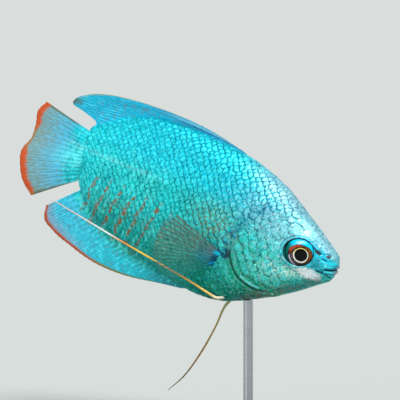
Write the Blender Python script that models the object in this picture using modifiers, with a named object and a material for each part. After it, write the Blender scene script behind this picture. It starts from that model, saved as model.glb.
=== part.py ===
"""A life-size dwarf gourami (Trichogaster lalius, powder-blue male) as a still display model.

The fish is modelled in its own axes: x runs forward along the body with the snout tip at 0, y is
its left side and z is up. Every piece hangs on an empty at the snout that carries the pose, nose
down, over a plain oval stand. Sizes below are written in millimetres and turned to metres by MM.
"""

import math

import bpy
import bmesh
import numpy as np
from mathutils import Matrix, Vector

MM = 0.001

# Driving dimensions of the pose and of the stand, in millimetres
NOSE_DOWN_DEG = 22.0
SNOUT_AHEAD = 29.8
SNOUT_ABOVE_FLOOR = 35.4
GAP = 0.3
BASE_LENGTH = 66.0
BASE_WIDTH = 46.0
BASE_THICKNESS = 4.0
BASE_BEVEL = 1.0
ROD_AHEAD = 10.5
ROD_RADIUS = 1.0
ROD_FOOT_RADIUS = 3.2
ROD_FOOT_HEIGHT = 1.2
ROD_FOOT_EASE = 0.3
ROD_COVE = (0.5, 1.0)
ROD_TOP = 36.0

# Driving dimensions of the body. A station is the distance back from the snout tip, with the height
# of the back, of the belly and of the widest line over the body axis there, and the half width
BODY_STATIONS = (
    (0.0, 1.7, -2.9, -0.7, 1.7),
    (3.0, 3.6, -5.3, -0.8, 2.9),
    (6.0, 5.5, -7.8, -1.2, 3.7),
    (10.0, 7.7, -10.6, -1.8, 4.5),
    (15.0, 10.5, -13.5, -2.2, 5.1),
    (20.0, 12.4, -15.9, -2.4, 5.4),
    (26.0, 13.8, -16.9, -2.0, 5.3),
    (33.0, 14.3, -16.2, -1.0, 4.9),
    (40.0, 14.4, -14.7, -0.2, 4.3),
    (47.0, 13.7, -12.7, 0.4, 3.5),
    (53.0, 11.7, -10.8, 0.6, 2.7),
    (57.0, 8.8, -8.6, 0.6, 2.1),
    (61.0, 6.4, -5.2, 0.6, 1.5),
)
BODY_LENGTH = 61.2
NOSE_ROUND_HEIGHT = 0.9
NOSE_ROUND_WIDTH = 2.2
TAIL_ROUND = 1.4
TAIL_SLANT = 0.17
TAIL_SLANT_FROM = 54.0
BACK_SHARPNESS = 1.2
BELLY_SHARPNESS = 1.05
AROUND = 36
HEAD_RING_STEP = 1.05
TRUNK_RING_STEP = 1.9
HEAD_LENGTH = 24.0

# Eyes, nostrils and the lines of the head
EYE_BACK = 8.0
EYE_UP = 0.1
EYE_OUT = 3.3
EYE_RADIUS = 3.1
EYE_HALF_DEPTH = 1.35
EYE_FORWARD_DEG = 8.0
ORBIT_RIM = 0.3
RIM_WIDTH = 0.8
NOSTRILS = ((4.2, 1.5, 0.34), (2.1, 1.4, 0.28))
NOSTRIL_OUT = 0.1
LIP = 0.28
LIP_WIDTH = 0.8
GILL_LIFT = 0.35
GILL_LIFT_FROM = 12.0
GILL_LIFT_RAMP = 8.0
GILL_LIFT_HEIGHT = -2.5
GILL_LIFT_HALF_HEIGHT = 10.0
RELIEF_SHARPNESS = 0.6
RELIEF_FROM = 0.6
MOUTH_LINE = ((-1.0, -0.3), (0.2, -0.6), (0.9, -1.0), (1.9, -1.3), (3.4, -2.2))
JAW_HINGE = ((4.4, -4.2), (5.4, -7.0), (5.6, -9.6))
GILL_LINE = (
    (19.4, 15.5),
    (19.8, 11.0),
    (20.7, 6.0),
    (21.5, 1.5),
    (21.6, -3.0),
    (20.9, -6.2),
    (19.0, -8.7),
    (16.2, -10.5),
    (13.4, -11.6),
    (11.6, -14.5),
)
COVER_FRONT = (
    (20.8, 5.2),
    (17.0, 5.6),
    (13.6, 4.6),
    (12.8, 0.0),
    (12.6, -5.0),
    (13.0, -9.6),
    (14.6, -11.6),
)
COVER_INNER = 2.6
TAIL_CUT = ((55.6, 16.0), (54.6, 6.0), (54.2, 0.0), (54.4, -6.0), (55.2, -14.0))

# Corners, beyond the body, that close the outlines of the cutters, and the cutters' reach sideways
HEAD_CORNERS = ((-6.0, -20.0), (-6.0, 20.0))
TAIL_CORNERS = ((66.0, -14.0), (66.0, 16.0))
JAW_CORNERS = ((-3.0, -10.0),)
COVER_CORNERS = ((26.0, -13.0), (26.0, 5.0))
CUTTER_REACH = 12.0

# Fins. Points are (back, up) in millimetres, or (share along the fin's base, back, up)
MEMBRANE = 0.5
ROOT_SINK = 1.6
SCALLOP = 0.25
DORSAL_BASE = (26.6, 59.5)
DORSAL_EDGE = (
    (0.0, 27.8, 14.3),
    (0.25, 39.0, 15.9),
    (0.5, 49.5, 15.7),
    (0.7, 57.3, 15.0),
    (0.85, 63.2, 13.4),
    (0.95, 66.8, 11.3),
    (1.0, 67.3, 9.7),
)
ANAL_BASE = (28.6, 59.3)
ANAL_EDGE = (
    (0.0, 29.9, -17.2),
    (0.15, 35.5, -18.3),
    (0.3, 41.5, -19.5),
    (0.5, 49.2, -19.8),
    (0.7, 56.5, -18.6),
    (0.85, 61.5, -17.2),
    (0.95, 64.4, -15.2),
    (1.0, 64.8, -12.8),
)
CAUDAL_BASE = ((0.0, 61.0, 5.6), (1.0, 59.4, -4.7))
CAUDAL_EDGE = (
    (0.0, 73.7, 7.7),
    (0.12, 75.0, 5.4),
    (0.3, 74.5, 2.2),
    (0.45, 74.3, -1.0),
    (0.57, 75.3, -3.6),
    (0.75, 74.4, -7.2),
    (0.9, 72.3, -10.4),
    (1.0, 69.6, -12.4),
)
PECTORAL_BASE = ((22.7, -6.0), (23.6, -9.0))
PECTORAL_ANGLES_DEG = (22.0, -42.0)
PECTORAL_LENGTHS = ((0.0, 11.6), (0.3, 12.9), (0.6, 12.5), (0.85, 10.2), (1.0, 7.6))
PECTORAL_SPREAD_DEG = 22.0
PECTORAL_REACH = 12.5
PECTORAL_SINK = 1.3
PECTORAL_STANDOFF = 0.5
PECTORAL_CUP = 0.6
DORSAL_THICK = (0.9, 0.5)
ANAL_THICK = (0.9, 0.5)
CAUDAL_THICK = (1.1, 0.5)
PECTORAL_THICK = (0.8, 0.5)
DORSAL_RAYS = 22
ANAL_RAYS = 24
CAUDAL_RAYS = 14
PECTORAL_RAYS = 9
COLUMNS_PER_RAY = 3
TAIL_SWING = 1.6
TAIL_WAVE = 0.35
FIN_WAVE = 0.3

# Thread fins, as (back, out from the midline, up) points from root to tip
RIGHT_FEELER = (
    (19.4, 1.2, -14.4),
    (20.9, 2.6, -15.4),
    (23.0, 3.2, -15.1),
    (26.0, 3.8, -14.5),
    (34.4, 5.0, -13.3),
    (44.0, 6.0, -12.1),
    (51.4, 6.5, -11.1),
    (60.8, 6.9, -9.9),
)
LEFT_FEELER = (
    (19.0, 1.0, -14.9),
    (20.2, 2.6, -17.2),
    (21.4, 5.6, -22.3),
    (23.6, 9.6, -30.0),
    (26.4, 13.6, -36.9),
    (30.2, 18.6, -42.6),
)
FEELER_RADII = ((0.0, 0.42), (0.12, 0.3), (0.7, 0.26), (1.0, 0.16))
FEELER_SIDES_LEVEL = 1

# Finishes: colour, roughness and metallic value
FINISHES = {
    "skin_turquoise": ((0.05, 0.52, 0.62), 0.35, 0.3),
    "cheek_silver": ((0.30, 0.72, 0.78), 0.32, 0.35),
    "fin_blue": ((0.10, 0.48, 0.72), 0.4, 0.1),
    "tail_blue": ((0.28, 0.52, 0.66), 0.4, 0.1),
    "clear_fin": ((0.18, 0.52, 0.50), 0.45, 0.0),
    "thread_amber": ((0.80, 0.52, 0.12), 0.45, 0.0),
    "eye_black": ((0.02, 0.02, 0.02), 0.08, 0.0),
    "dark_wood": ((0.10, 0.055, 0.03), 0.45, 0.0),
    "steel": ((0.60, 0.60, 0.62), 0.3, 1.0),
}


def clear_scene():
    for obj in list(bpy.data.objects):
        bpy.data.objects.remove(obj)


def new_collection(name):
    made = bpy.data.collections.new(name)
    bpy.context.scene.collection.children.link(made)
    return made


def finish_material(name):
    made = bpy.data.materials.get(name)
    if made:
        return made
    colour, roughness, metallic = FINISHES[name]
    made = bpy.data.materials.new(name)
    made.use_nodes = True
    shader = made.node_tree.nodes["Principled BSDF"]
    shader.inputs["Base Color"].default_value = (*colour, 1.0)
    shader.inputs["Roughness"].default_value = roughness
    shader.inputs["Metallic"].default_value = metallic
    return made


def new_object(name, mesh, collection):
    made = bpy.data.objects.new(name, mesh)
    collection.objects.link(made)
    return made


def smooth_values(points, wanted):
    """Values at the wanted places on a smooth curve through (place, value, ...) points."""
    table = np.array(points, float)
    place, value = table[:, 0], table[:, 1:]
    slope = np.gradient(value, place, axis=0)
    wanted = np.clip(np.asarray(wanted, float), place[0], place[-1])
    i = np.clip(np.searchsorted(place, wanted, side="right") - 1, 0, len(place) - 2)
    width = (place[i + 1] - place[i])[..., None]
    t = ((wanted - place[i])[..., None]) / width
    start = value[i] * (1 + 2 * t) * (1 - t) ** 2 + slope[i] * width * t * (1 - t) ** 2
    end = value[i + 1] * t * t * (3 - 2 * t) + slope[i + 1] * width * t * t * (t - 1)
    return start + end


def smooth_path(points, steps):
    """The points of a smooth curve through the given ones, spaced evenly between each pair."""
    points = np.array(points, float)
    length = np.concatenate([[0], np.cumsum(np.linalg.norm(np.diff(points, axis=0), axis=1))])
    spans = len(points) - 1
    wanted = np.interp(np.linspace(0, spans, spans * steps + 1), range(spans + 1), length)
    return smooth_values(np.column_stack([length, points]), wanted)


def rounded(distance, length):
    """Share of full size at this distance from a rounded end of the given length."""
    share = np.clip(distance / length, 0.0, 1.0)
    return np.sqrt(1 - (1 - share) ** 2)


def section(back, grow=0.0):
    """Back height, belly height, widest height and half width of the body at a station."""
    top, bottom, middle, width = smooth_values(BODY_STATIONS, back).T
    from_nose = np.asarray(back) + grow
    from_tail = BODY_LENGTH + grow - np.asarray(back)
    tall = rounded(from_nose, NOSE_ROUND_HEIGHT) * rounded(from_tail, TAIL_ROUND)
    wide = rounded(from_nose, NOSE_ROUND_WIDTH) * rounded(from_tail, TAIL_ROUND)
    return (
        middle + (top + grow - middle) * tall,
        middle + (bottom - grow - middle) * tall,
        middle,
        (width + grow) * wide,
    )


def side_at(back, up):
    """Half width of the body at a height, at a station."""
    top, bottom, middle, width = section(np.array([float(back)]))
    above = up > middle[0]
    share = (up - middle[0]) / ((top[0] - middle[0]) if above else (bottom[0] - middle[0]))
    sharpness = BACK_SHARPNESS if above else BELLY_SHARPNESS
    return float(width[0] * math.sqrt(max(0.0, 1 - share * share)) ** sharpness)


def slanted(back, up):
    """Stations near the tail lean, so that the tail base ends further back above than below."""
    ramp = np.clip((back - TAIL_SLANT_FROM) / (BODY_LENGTH - TAIL_SLANT_FROM), 0.0, 1.0)
    return back + TAIL_SLANT * (up - 0.6) * ramp


def distance_to_path(back, up, path):
    """Distance of each point from a polyline in the side view."""
    path = np.array(path, float)
    points = np.stack([back, up], axis=-1)[..., None, :]
    start, step = path[:-1], np.diff(path, axis=0)
    share = np.clip(((points - start) * step).sum(-1) / (step * step).sum(-1), 0.0, 1.0)
    nearest = start + share[..., None] * step
    return np.linalg.norm(points - nearest, axis=-1).min(-1)


def head_relief(back, up):
    """How far the head's sides stand out: the rim round the eye, the lips and the gill cover."""
    from_rim = np.hypot(back - EYE_BACK, up - EYE_UP) - EYE_RADIUS - GAP
    rim = ORBIT_RIM * np.exp(-((from_rim / RIM_WIDTH) ** 2))
    height_share = (up - GILL_LIFT_HEIGHT) / GILL_LIFT_HALF_HEIGHT
    cover = np.clip((back - GILL_LIFT_FROM) / GILL_LIFT_RAMP, 0.0, 1.0)
    cover = cover * np.clip(1 - height_share**4, 0.0, 1.0)
    lips = LIP * np.exp(-((distance_to_path(back, up, MOUTH_LINE) / LIP_WIDTH) ** 2))
    return rim + GILL_LIFT * cover + lips


def ring_stations(grow):
    nose = [-grow + NOSE_ROUND_HEIGHT * (1 - math.cos(math.radians(a))) for a in (12, 30, 50, 72)]
    head = list(np.arange(nose[-1] + 0.5, HEAD_LENGTH, HEAD_RING_STEP))
    trunk = list(np.arange(HEAD_LENGTH, BODY_LENGTH - TAIL_ROUND, TRUNK_RING_STEP))
    tail = [BODY_LENGTH + grow - TAIL_ROUND * (1 - math.sin(math.radians(a))) for a in (15, 45, 70)]
    return np.array(nose + head + trunk[:-1] + tail)


def body_mesh(name, grow=0.0, with_relief=False):
    """The whole body as one closed loft of unlike oval sections between two end points."""
    back = ring_stations(grow)
    top, bottom, middle, width = (v[:, None] for v in section(back, grow))
    angle = np.linspace(0, 2 * math.pi, AROUND, endpoint=False)[None, :]
    lift, reach = np.sin(angle), np.cos(angle)
    up = middle + np.where(lift > 0, top - middle, middle - bottom) * lift
    sharpness = np.where(lift > 0, BACK_SHARPNESS, BELLY_SHARPNESS)
    out = width * np.abs(reach) ** sharpness
    station = np.broadcast_to(back[:, None], up.shape)
    if with_relief:
        fade = np.abs(reach) ** RELIEF_SHARPNESS * np.clip(station / RELIEF_FROM, 0, 1)
        out = out + head_relief(station, up) * fade
    points = np.stack([-slanted(station, up), -out * np.sign(reach), up], axis=-1).reshape(-1, 3)
    tail_end = -slanted(BODY_LENGTH + grow, middle[-1, 0])
    ends = np.array([[grow, 0, middle[0, 0]], [tail_end, 0, middle[-1, 0]]])
    bm = bmesh.new()
    ring_verts = [bm.verts.new(p * MM) for p in points]
    nose, tail = (bm.verts.new(p * MM) for p in ends)
    rings = [ring_verts[i : i + AROUND] for i in range(0, len(ring_verts), AROUND)]
    for i in range(AROUND):
        j = (i + 1) % AROUND
        bm.faces.new((nose, rings[0][j], rings[0][i]))
        bm.faces.new((tail, rings[-1][i], rings[-1][j]))
        for first, second in zip(rings, rings[1:]):
            bm.faces.new((first[i], first[j], second[j], second[i]))
    bmesh.ops.triangulate(bm, faces=bm.faces)
    bmesh.ops.recalc_face_normals(bm, faces=bm.faces)
    mesh = bpy.data.meshes.new(name)
    bm.to_mesh(mesh)
    bm.free()
    return mesh


def offset_outline(outline, distance):
    """A closed outline moved outwards by the distance, each corner along its mean normal."""
    outline = np.array(outline, float)
    before, after = np.roll(outline, 1, axis=0), np.roll(outline, -1, axis=0)
    run = after - before
    normal = np.column_stack([run[:, 1], -run[:, 0]]) / np.linalg.norm(run, axis=1)[:, None]
    area = 0.5 * np.sum(outline[:, 0] * after[:, 1] - after[:, 0] * outline[:, 1])
    return outline + normal * distance * np.sign(area)


def prism(name, outline, low, high, cutters):
    """A cutter: a filled side-view outline of (back, up) points, between two side distances."""
    curve = bpy.data.curves.new(name, "CURVE")
    curve.dimensions = "2D"
    curve.fill_mode = "BOTH"
    curve.extrude = (high - low) / 2 * MM
    spline = curve.splines.new("POLY")
    spline.points.add(len(outline) - 1)
    for point, (back, up) in zip(spline.points, outline):
        point.co = (-back * MM, up * MM, 0, 1)
    spline.use_cyclic_u = True
    flat = new_object(name + "_outline", curve, cutters)
    middle = Matrix.Translation((0, (low + high) / 2 * MM, 0))
    flat.matrix_world = middle @ Matrix.Rotation(math.pi / 2, 4, "X")
    return meshed(flat, name, cutters)


def meshed(curve_object, name, collection):
    """A curve turned into a mesh object with its caps welded."""
    bpy.context.view_layer.update()
    graph = bpy.context.evaluated_depsgraph_get()
    mesh = bpy.data.meshes.new_from_object(curve_object.evaluated_get(graph))
    mesh.transform(curve_object.matrix_world)
    bpy.data.objects.remove(curve_object)
    bm = bmesh.new()
    bm.from_mesh(mesh)
    bmesh.ops.remove_doubles(bm, verts=bm.verts, dist=1e-6)
    bmesh.ops.triangulate(bm, faces=bm.faces)
    bmesh.ops.recalc_face_normals(bm, faces=bm.faces)
    bm.to_mesh(mesh)
    bm.free()
    return new_object(name, mesh, collection)


def keep_largest(mesh):
    """Drops all but the largest closed surface that a cut leaves."""
    bm = bmesh.new()
    bm.from_mesh(mesh)
    bmesh.ops.remove_doubles(bm, verts=bm.verts, dist=1e-7)
    left, parts = set(bm.verts), []
    while left:
        group, edge = set(), [left.pop()]
        while edge:
            vert = edge.pop()
            group.add(vert)
            near = {e.other_vert(vert) for e in vert.link_edges} & left
            left -= near
            edge.extend(near)
        parts.append(group)
    largest = max(parts, key=lambda g: (Vector(np.ptp([v.co for v in g], axis=0))).length)
    bmesh.ops.delete(bm, geom=[v for g in parts if g is not largest for v in g], context="VERTS")
    bm.to_mesh(mesh)
    bm.free()


def cut(obj, cutter, operation, solver="EXACT"):
    """Applies one Boolean to the object."""
    boolean = obj.modifiers.new(operation.lower(), "BOOLEAN")
    boolean.operation = operation
    boolean.solver = solver
    boolean.object = cutter
    apply_modifiers(obj)
    keep_largest(obj.data)


def apply_modifiers(obj):
    bpy.context.view_layer.update()
    graph = bpy.context.evaluated_depsgraph_get()
    mesh = bpy.data.meshes.new_from_object(obj.evaluated_get(graph))
    obj.modifiers.clear()
    obj.data = mesh


def copy_of(obj, name, collection):
    made = new_object(name, obj.data.copy(), collection)
    made.matrix_world = obj.matrix_world
    return made


def ellipsoid(name, centre, half_sizes, turn, collection, segments=20, rings=12):
    bm = bmesh.new()
    bmesh.ops.create_uvsphere(bm, u_segments=segments, v_segments=rings, radius=1.0)
    bmesh.ops.rotate(bm, verts=bm.verts, matrix=Matrix.Rotation(math.pi / 2, 3, "X"))
    bmesh.ops.scale(bm, verts=bm.verts, vec=Vector(half_sizes) * MM)
    mesh = bpy.data.meshes.new(name)
    bm.to_mesh(mesh)
    bm.free()
    place = Matrix.Translation(Vector(centre) * MM) @ Matrix.Rotation(math.radians(turn), 4, "Z")
    mesh.transform(place)
    return new_object(name, mesh, collection)


def split_body(fish, cutters):
    """Head, jaw, gill covers, trunk and tail base, parted along the lines that a fish shows."""
    reach = (-CUTTER_REACH, CUTTER_REACH)
    front = np.vstack([smooth_path(GILL_LINE, 3), HEAD_CORNERS])
    front_prism = prism("head_region", front, *reach, cutters)
    front_grown = prism("head_region_grown", offset_outline(front, GAP), *reach, cutters)
    tail = np.vstack([smooth_path(TAIL_CUT, 2), TAIL_CORNERS])
    tail_prism = prism("tail_region", tail, *reach, cutters)
    tail_grown = prism("tail_region_grown", offset_outline(tail, GAP), *reach, cutters)

    torso = new_object("torso", body_mesh("torso"), fish)
    tail_base = copy_of(torso, "tail_base", fish)
    cut(torso, front_grown, "DIFFERENCE")
    cut(torso, tail_grown, "DIFFERENCE")
    cut(tail_base, tail_prism, "INTERSECT")

    head = new_object("head", body_mesh("head", with_relief=True), fish)
    cut(head, front_prism, "INTERSECT")
    split_jaw(head, fish, cutters)
    for side, name in ((-1, "right"), (1, "left")):
        split_gill_cover(head, side, name, fish, cutters)
        add_eye(head, side, name, fish, cutters)
        cut_nostrils(head, side, cutters)


def split_jaw(head, fish, cutters):
    """The lower jaw under the line of the mouth."""
    outline = np.vstack([smooth_path(MOUTH_LINE + JAW_HINGE, 2), JAW_CORNERS])
    jaw = copy_of(head, "lower_jaw", fish)
    reach = (-CUTTER_REACH, CUTTER_REACH)
    cut(jaw, prism("jaw_region", outline, *reach, cutters), "INTERSECT")
    cut(head, prism("jaw_region_grown", offset_outline(outline, GAP), *reach, cutters), "DIFFERENCE")


def split_gill_cover(head, side, name, fish, cutters):
    """A bony plate on the cheek's rear part, free along the gill line."""
    outline = np.vstack([smooth_path(COVER_FRONT, 2), COVER_CORNERS])
    low, high = sorted((side * COVER_INNER, side * CUTTER_REACH))
    cover = copy_of(head, "gill_cover_" + name, fish)
    cut(cover, prism("cover_region_" + name, outline, low, high, cutters), "INTERSECT")
    low, high = sorted((side * (COVER_INNER - GAP), side * CUTTER_REACH))
    grown = prism("cover_grown_" + name, offset_outline(outline, GAP), low, high, cutters)
    cut(head, grown, "DIFFERENCE")


def add_eye(head, side, name, fish, cutters):
    """A flattened ball in its own socket, turned a little forward."""
    centre = (-EYE_BACK, side * EYE_OUT, EYE_UP)
    half = (EYE_RADIUS, EYE_HALF_DEPTH, EYE_RADIUS)
    turn = -side * EYE_FORWARD_DEG
    ellipsoid("eye_" + name, centre, half, turn, fish)
    socket = ellipsoid("socket_" + name, centre, [h + GAP for h in half], turn, cutters)
    cut(head, socket, "DIFFERENCE")


def cut_nostrils(head, side, cutters):
    for i, (back, up, radius) in enumerate(NOSTRILS):
        centre = (-back, side * (side_at(back, up) + NOSTRIL_OUT), up)
        pit = ellipsoid(f"nostril_{side}_{i}", centre, (radius,) * 3, 0, cutters, 8, 6)
        cut(head, pit, "DIFFERENCE")


def fin_sheet(name, base, edge, rays, rows, thickness, lateral, collection):
    """A fin as one ridged sheet. base and edge give a point (back, up) for a share along the fin;
    each ray is a ridge on both faces, and lateral gives the sideways place."""
    root_thick, tip_thick = thickness
    columns = np.arange((rays - 1) * COLUMNS_PER_RAY + 1)
    share = columns / columns[-1]
    on_ray = columns % COLUMNS_PER_RAY == 0
    root, tip = base(share), edge(share)
    run = tip - root
    length = np.linalg.norm(run, axis=1)
    tip = tip - run / length[:, None] * np.where(on_ray, 0.0, SCALLOP)[:, None]
    sunk = root - run / length[:, None] * ROOT_SINK
    along = np.concatenate([[-1.0], np.linspace(0.0, 1.0, rows + 1)])
    grid = np.array([sunk if a < 0 else root + (tip - root) * a for a in along])
    side = np.array([lateral(share, a) for a in along])
    thick = np.array([root_thick + (tip_thick - root_thick) * max(a, 0.0) for a in along])[:, None]
    thick = np.where(on_ray[None, :], thick, np.minimum(MEMBRANE, thick * 0.8))
    bm = bmesh.new()
    bmesh.ops.create_grid(bm, x_segments=len(columns) - 1, y_segments=len(along) - 1, size=1)
    bm.verts.ensure_lookup_table()
    weights = np.zeros(len(bm.verts))
    for vert in bm.verts:
        i = int(round((vert.co.y + 1) / 2 * (len(along) - 1)))
        j = int(round((vert.co.x + 1) / 2 * (len(columns) - 1)))
        vert.co = (-grid[i, j, 0] * MM, side[i, j] * MM, grid[i, j, 1] * MM)
        weights[vert.index] = thick[i, j] / root_thick
    bmesh.ops.triangulate(bm, faces=bm.faces)
    mesh = bpy.data.meshes.new(name)
    bm.to_mesh(mesh)
    bm.free()
    made = new_object(name, mesh, collection)
    group = made.vertex_groups.new(name="thickness")
    for i, weight in enumerate(weights):
        group.add([i], float(weight), "REPLACE")
    wall = made.modifiers.new("membrane", "SOLIDIFY")
    wall.thickness = root_thick * MM
    wall.offset = 0.0
    wall.vertex_group = "thickness"
    wall.thickness_vertex_group = 0.0
    apply_modifiers(made)
    outwards(made.data)
    return made


def outwards(mesh):
    bm = bmesh.new()
    bm.from_mesh(mesh)
    bmesh.ops.recalc_face_normals(bm, faces=bm.faces)
    bm.to_mesh(mesh)
    bm.free()


def ridge_line(limits, above):
    """Base of a median fin: points on the back's or the belly's ridge, by share along the base."""

    def base(share):
        back = limits[0] + (limits[1] - limits[0]) * share
        top, bottom, _, _ = section(back)
        up = top if above else bottom
        return np.column_stack([slanted(back, up), up])

    return base


def points_along(points):
    return lambda share: smooth_values(points, share)


def swing(share, along):
    """The tail fin swings to the fish's left, more towards its edge, with a slight wave across."""
    along = max(along, 0.0)
    return TAIL_SWING * along**1.6 + TAIL_WAVE * along * np.sin(share * 2 * math.pi)


def upright(share, along):
    """A fin on the midline waves slightly along its length."""
    return FIN_WAVE * max(along, 0.0) * np.sin(share * 3 * math.pi)


def add_median_fins(fish):
    """Dorsal, anal and tail fins, standing on the midline."""
    back, belly = ridge_line(DORSAL_BASE, True), ridge_line(ANAL_BASE, False)
    back_edge, belly_edge = points_along(DORSAL_EDGE), points_along(ANAL_EDGE)
    root, edge = points_along(CAUDAL_BASE), points_along(CAUDAL_EDGE)
    return [
        fin_sheet("dorsal_fin", back, back_edge, DORSAL_RAYS, 3, DORSAL_THICK, upright, fish),
        fin_sheet("anal_fin", belly, belly_edge, ANAL_RAYS, 4, ANAL_THICK, upright, fish),
        fin_sheet("caudal_fin", root, edge, CAUDAL_RAYS, 5, CAUDAL_THICK, swing, fish),
    ]


def add_pectoral(side, name, fish):
    """A fan behind the gill cover that stands off the flank."""
    spread = math.radians(PECTORAL_SPREAD_DEG)
    root, root_end = (np.array(point) for point in PECTORAL_BASE)
    root_out = [side_at(*point) for point in PECTORAL_BASE]

    def base(share):
        return root + share[:, None] * (root_end - root)

    def edge(share):
        angle = np.radians(np.interp(share, (0, 1), PECTORAL_ANGLES_DEG))
        length = smooth_values(PECTORAL_LENGTHS, share)
        fan = np.column_stack([np.cos(angle) * math.cos(spread), np.sin(angle)])
        return base(share) + length * fan

    def lateral(share, along):
        skin = root_out[0] + (root_out[1] - root_out[0]) * share
        if along < 0:
            return side * (skin - PECTORAL_SINK)
        stand_off = PECTORAL_STANDOFF * min(1.0, along * 6)
        out = PECTORAL_REACH * math.sin(spread) * along
        cup = PECTORAL_CUP * along * np.sin(share * math.pi)
        return side * (skin + stand_off + out + cup)

    name = "pectoral_fin_" + name
    return fin_sheet(name, base, edge, PECTORAL_RAYS, 4, PECTORAL_THICK, lateral, fish)


def add_feeler(name, side, route, fish):
    """A thread-like pelvic fin: a tapering tube on a smooth curve."""
    path = smooth_path(route, 4)
    share = np.linspace(0, 1, len(path))
    radius = smooth_values(FEELER_RADII, share)[:, 0]
    curve = bpy.data.curves.new(name, "CURVE")
    curve.dimensions = "3D"
    curve.bevel_depth = MM
    curve.bevel_resolution = FEELER_SIDES_LEVEL
    curve.use_fill_caps = True
    spline = curve.splines.new("POLY")
    spline.points.add(len(path) - 1)
    for point, (back, out, up), r in zip(spline.points, path, radius):
        point.co = (-back * MM, side * out * MM, up * MM, 1)
        point.radius = r
    return meshed(new_object(name + "_line", curve, fish), name, fish)


def add_base(stand):
    """A flat oval plate with eased edges."""
    bpy.ops.mesh.primitive_cylinder_add(vertices=40, radius=1.0, depth=1.0)
    base = bpy.context.object
    base.name = "stand_base"
    half = (BASE_LENGTH / 2 * MM, BASE_WIDTH / 2 * MM, BASE_THICKNESS * MM, 1)
    base.data.transform(Matrix.Diagonal(half))
    base.location = (0, 0, BASE_THICKNESS / 2 * MM)
    for old in base.users_collection:
        old.objects.unlink(base)
    stand.objects.link(base)
    eased = base.modifiers.new("eased_edge", "BEVEL")
    eased.width = BASE_BEVEL * MM
    eased.segments = 2
    eased.limit_method = "ANGLE"
    return base


def add_rod(stand, grown_body):
    """A turned steel rod with a small foot, its top shaped to the fish's breast."""
    foot = BASE_THICKNESS + GAP
    cove_out, cove_up = ROD_COVE
    profile = (
        (0.0, ROD_TOP),
        (ROD_RADIUS, ROD_TOP),
        (ROD_RADIUS, foot + ROD_FOOT_HEIGHT + cove_up),
        (ROD_RADIUS + cove_out, foot + ROD_FOOT_HEIGHT),
        (ROD_FOOT_RADIUS - ROD_FOOT_EASE, foot + ROD_FOOT_HEIGHT - ROD_FOOT_EASE),
        (ROD_FOOT_RADIUS, foot),
        (0.0, foot),
    )
    bm = bmesh.new()
    line = [bm.verts.new((r * MM, 0, z * MM)) for r, z in profile]
    for first, second in zip(line, line[1:]):
        bm.edges.new((first, second))
    mesh = bpy.data.meshes.new("stand_rod")
    bm.to_mesh(mesh)
    bm.free()
    rod = new_object("stand_rod", mesh, stand)
    rod.location = (ROD_AHEAD * MM, 0, 0)
    turned = rod.modifiers.new("turned", "SCREW")
    turned.steps = turned.render_steps = 20
    turned.use_merge_vertices = True
    turned.merge_threshold = 1e-6
    apply_modifiers(rod)
    outwards(rod.data)
    cut(rod, grown_body, "DIFFERENCE")
    return rod


def paint(obj, finish):
    obj.data.materials.clear()
    obj.data.materials.append(finish_material(finish))
    obj.data.shade_smooth()
    obj.data.set_sharp_from_angle(angle=math.radians(40))


def main():
    clear_scene()
    fish = new_collection("dwarf_gourami")
    stand = new_collection("stand")
    cutters = new_collection("cutters")
    pose = new_object("fish_pose", None, fish)
    pose.location = (SNOUT_AHEAD * MM, 0, SNOUT_ABOVE_FLOOR * MM)
    pose.rotation_euler = (0, math.radians(NOSE_DOWN_DEG), 0)

    split_body(fish, cutters)
    grown = new_object("body_grown", body_mesh("body_grown", grow=GAP), cutters)
    fins = add_median_fins(fish)
    for side, name in ((-1, "right"), (1, "left")):
        fins.append(add_pectoral(side, name, fish))
    fins.append(add_feeler("pelvic_feeler_right", -1, RIGHT_FEELER, fish))
    fins.append(add_feeler("pelvic_feeler_left", 1, LEFT_FEELER, fish))
    for fin in fins:
        cut(fin, grown, "DIFFERENCE", "MANIFOLD" if "pectoral" in fin.name else "EXACT")

    for obj in list(fish.objects) + list(cutters.objects):
        if obj is not pose:
            obj.parent = pose
    bpy.context.view_layer.update()
    add_base(stand)
    add_rod(stand, grown)

    for cutter in cutters.objects:
        cutter.hide_render = True
        cutter.display_type = "WIRE"
    finishes = {
        "head": "skin_turquoise",
        "torso": "skin_turquoise",
        "tail_base": "skin_turquoise",
        "lower_jaw": "cheek_silver",
        "gill_cover_right": "cheek_silver",
        "gill_cover_left": "cheek_silver",
        "eye_right": "eye_black",
        "eye_left": "eye_black",
        "dorsal_fin": "fin_blue",
        "anal_fin": "fin_blue",
        "caudal_fin": "tail_blue",
        "pectoral_fin_right": "clear_fin",
        "pectoral_fin_left": "clear_fin",
        "pelvic_feeler_right": "thread_amber",
        "pelvic_feeler_left": "thread_amber",
        "stand_base": "dark_wood",
        "stand_rod": "steel",
    }
    for name, finish in finishes.items():
        paint(bpy.data.objects[name], finish)


main()
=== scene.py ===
import math
from functools import reduce

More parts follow.
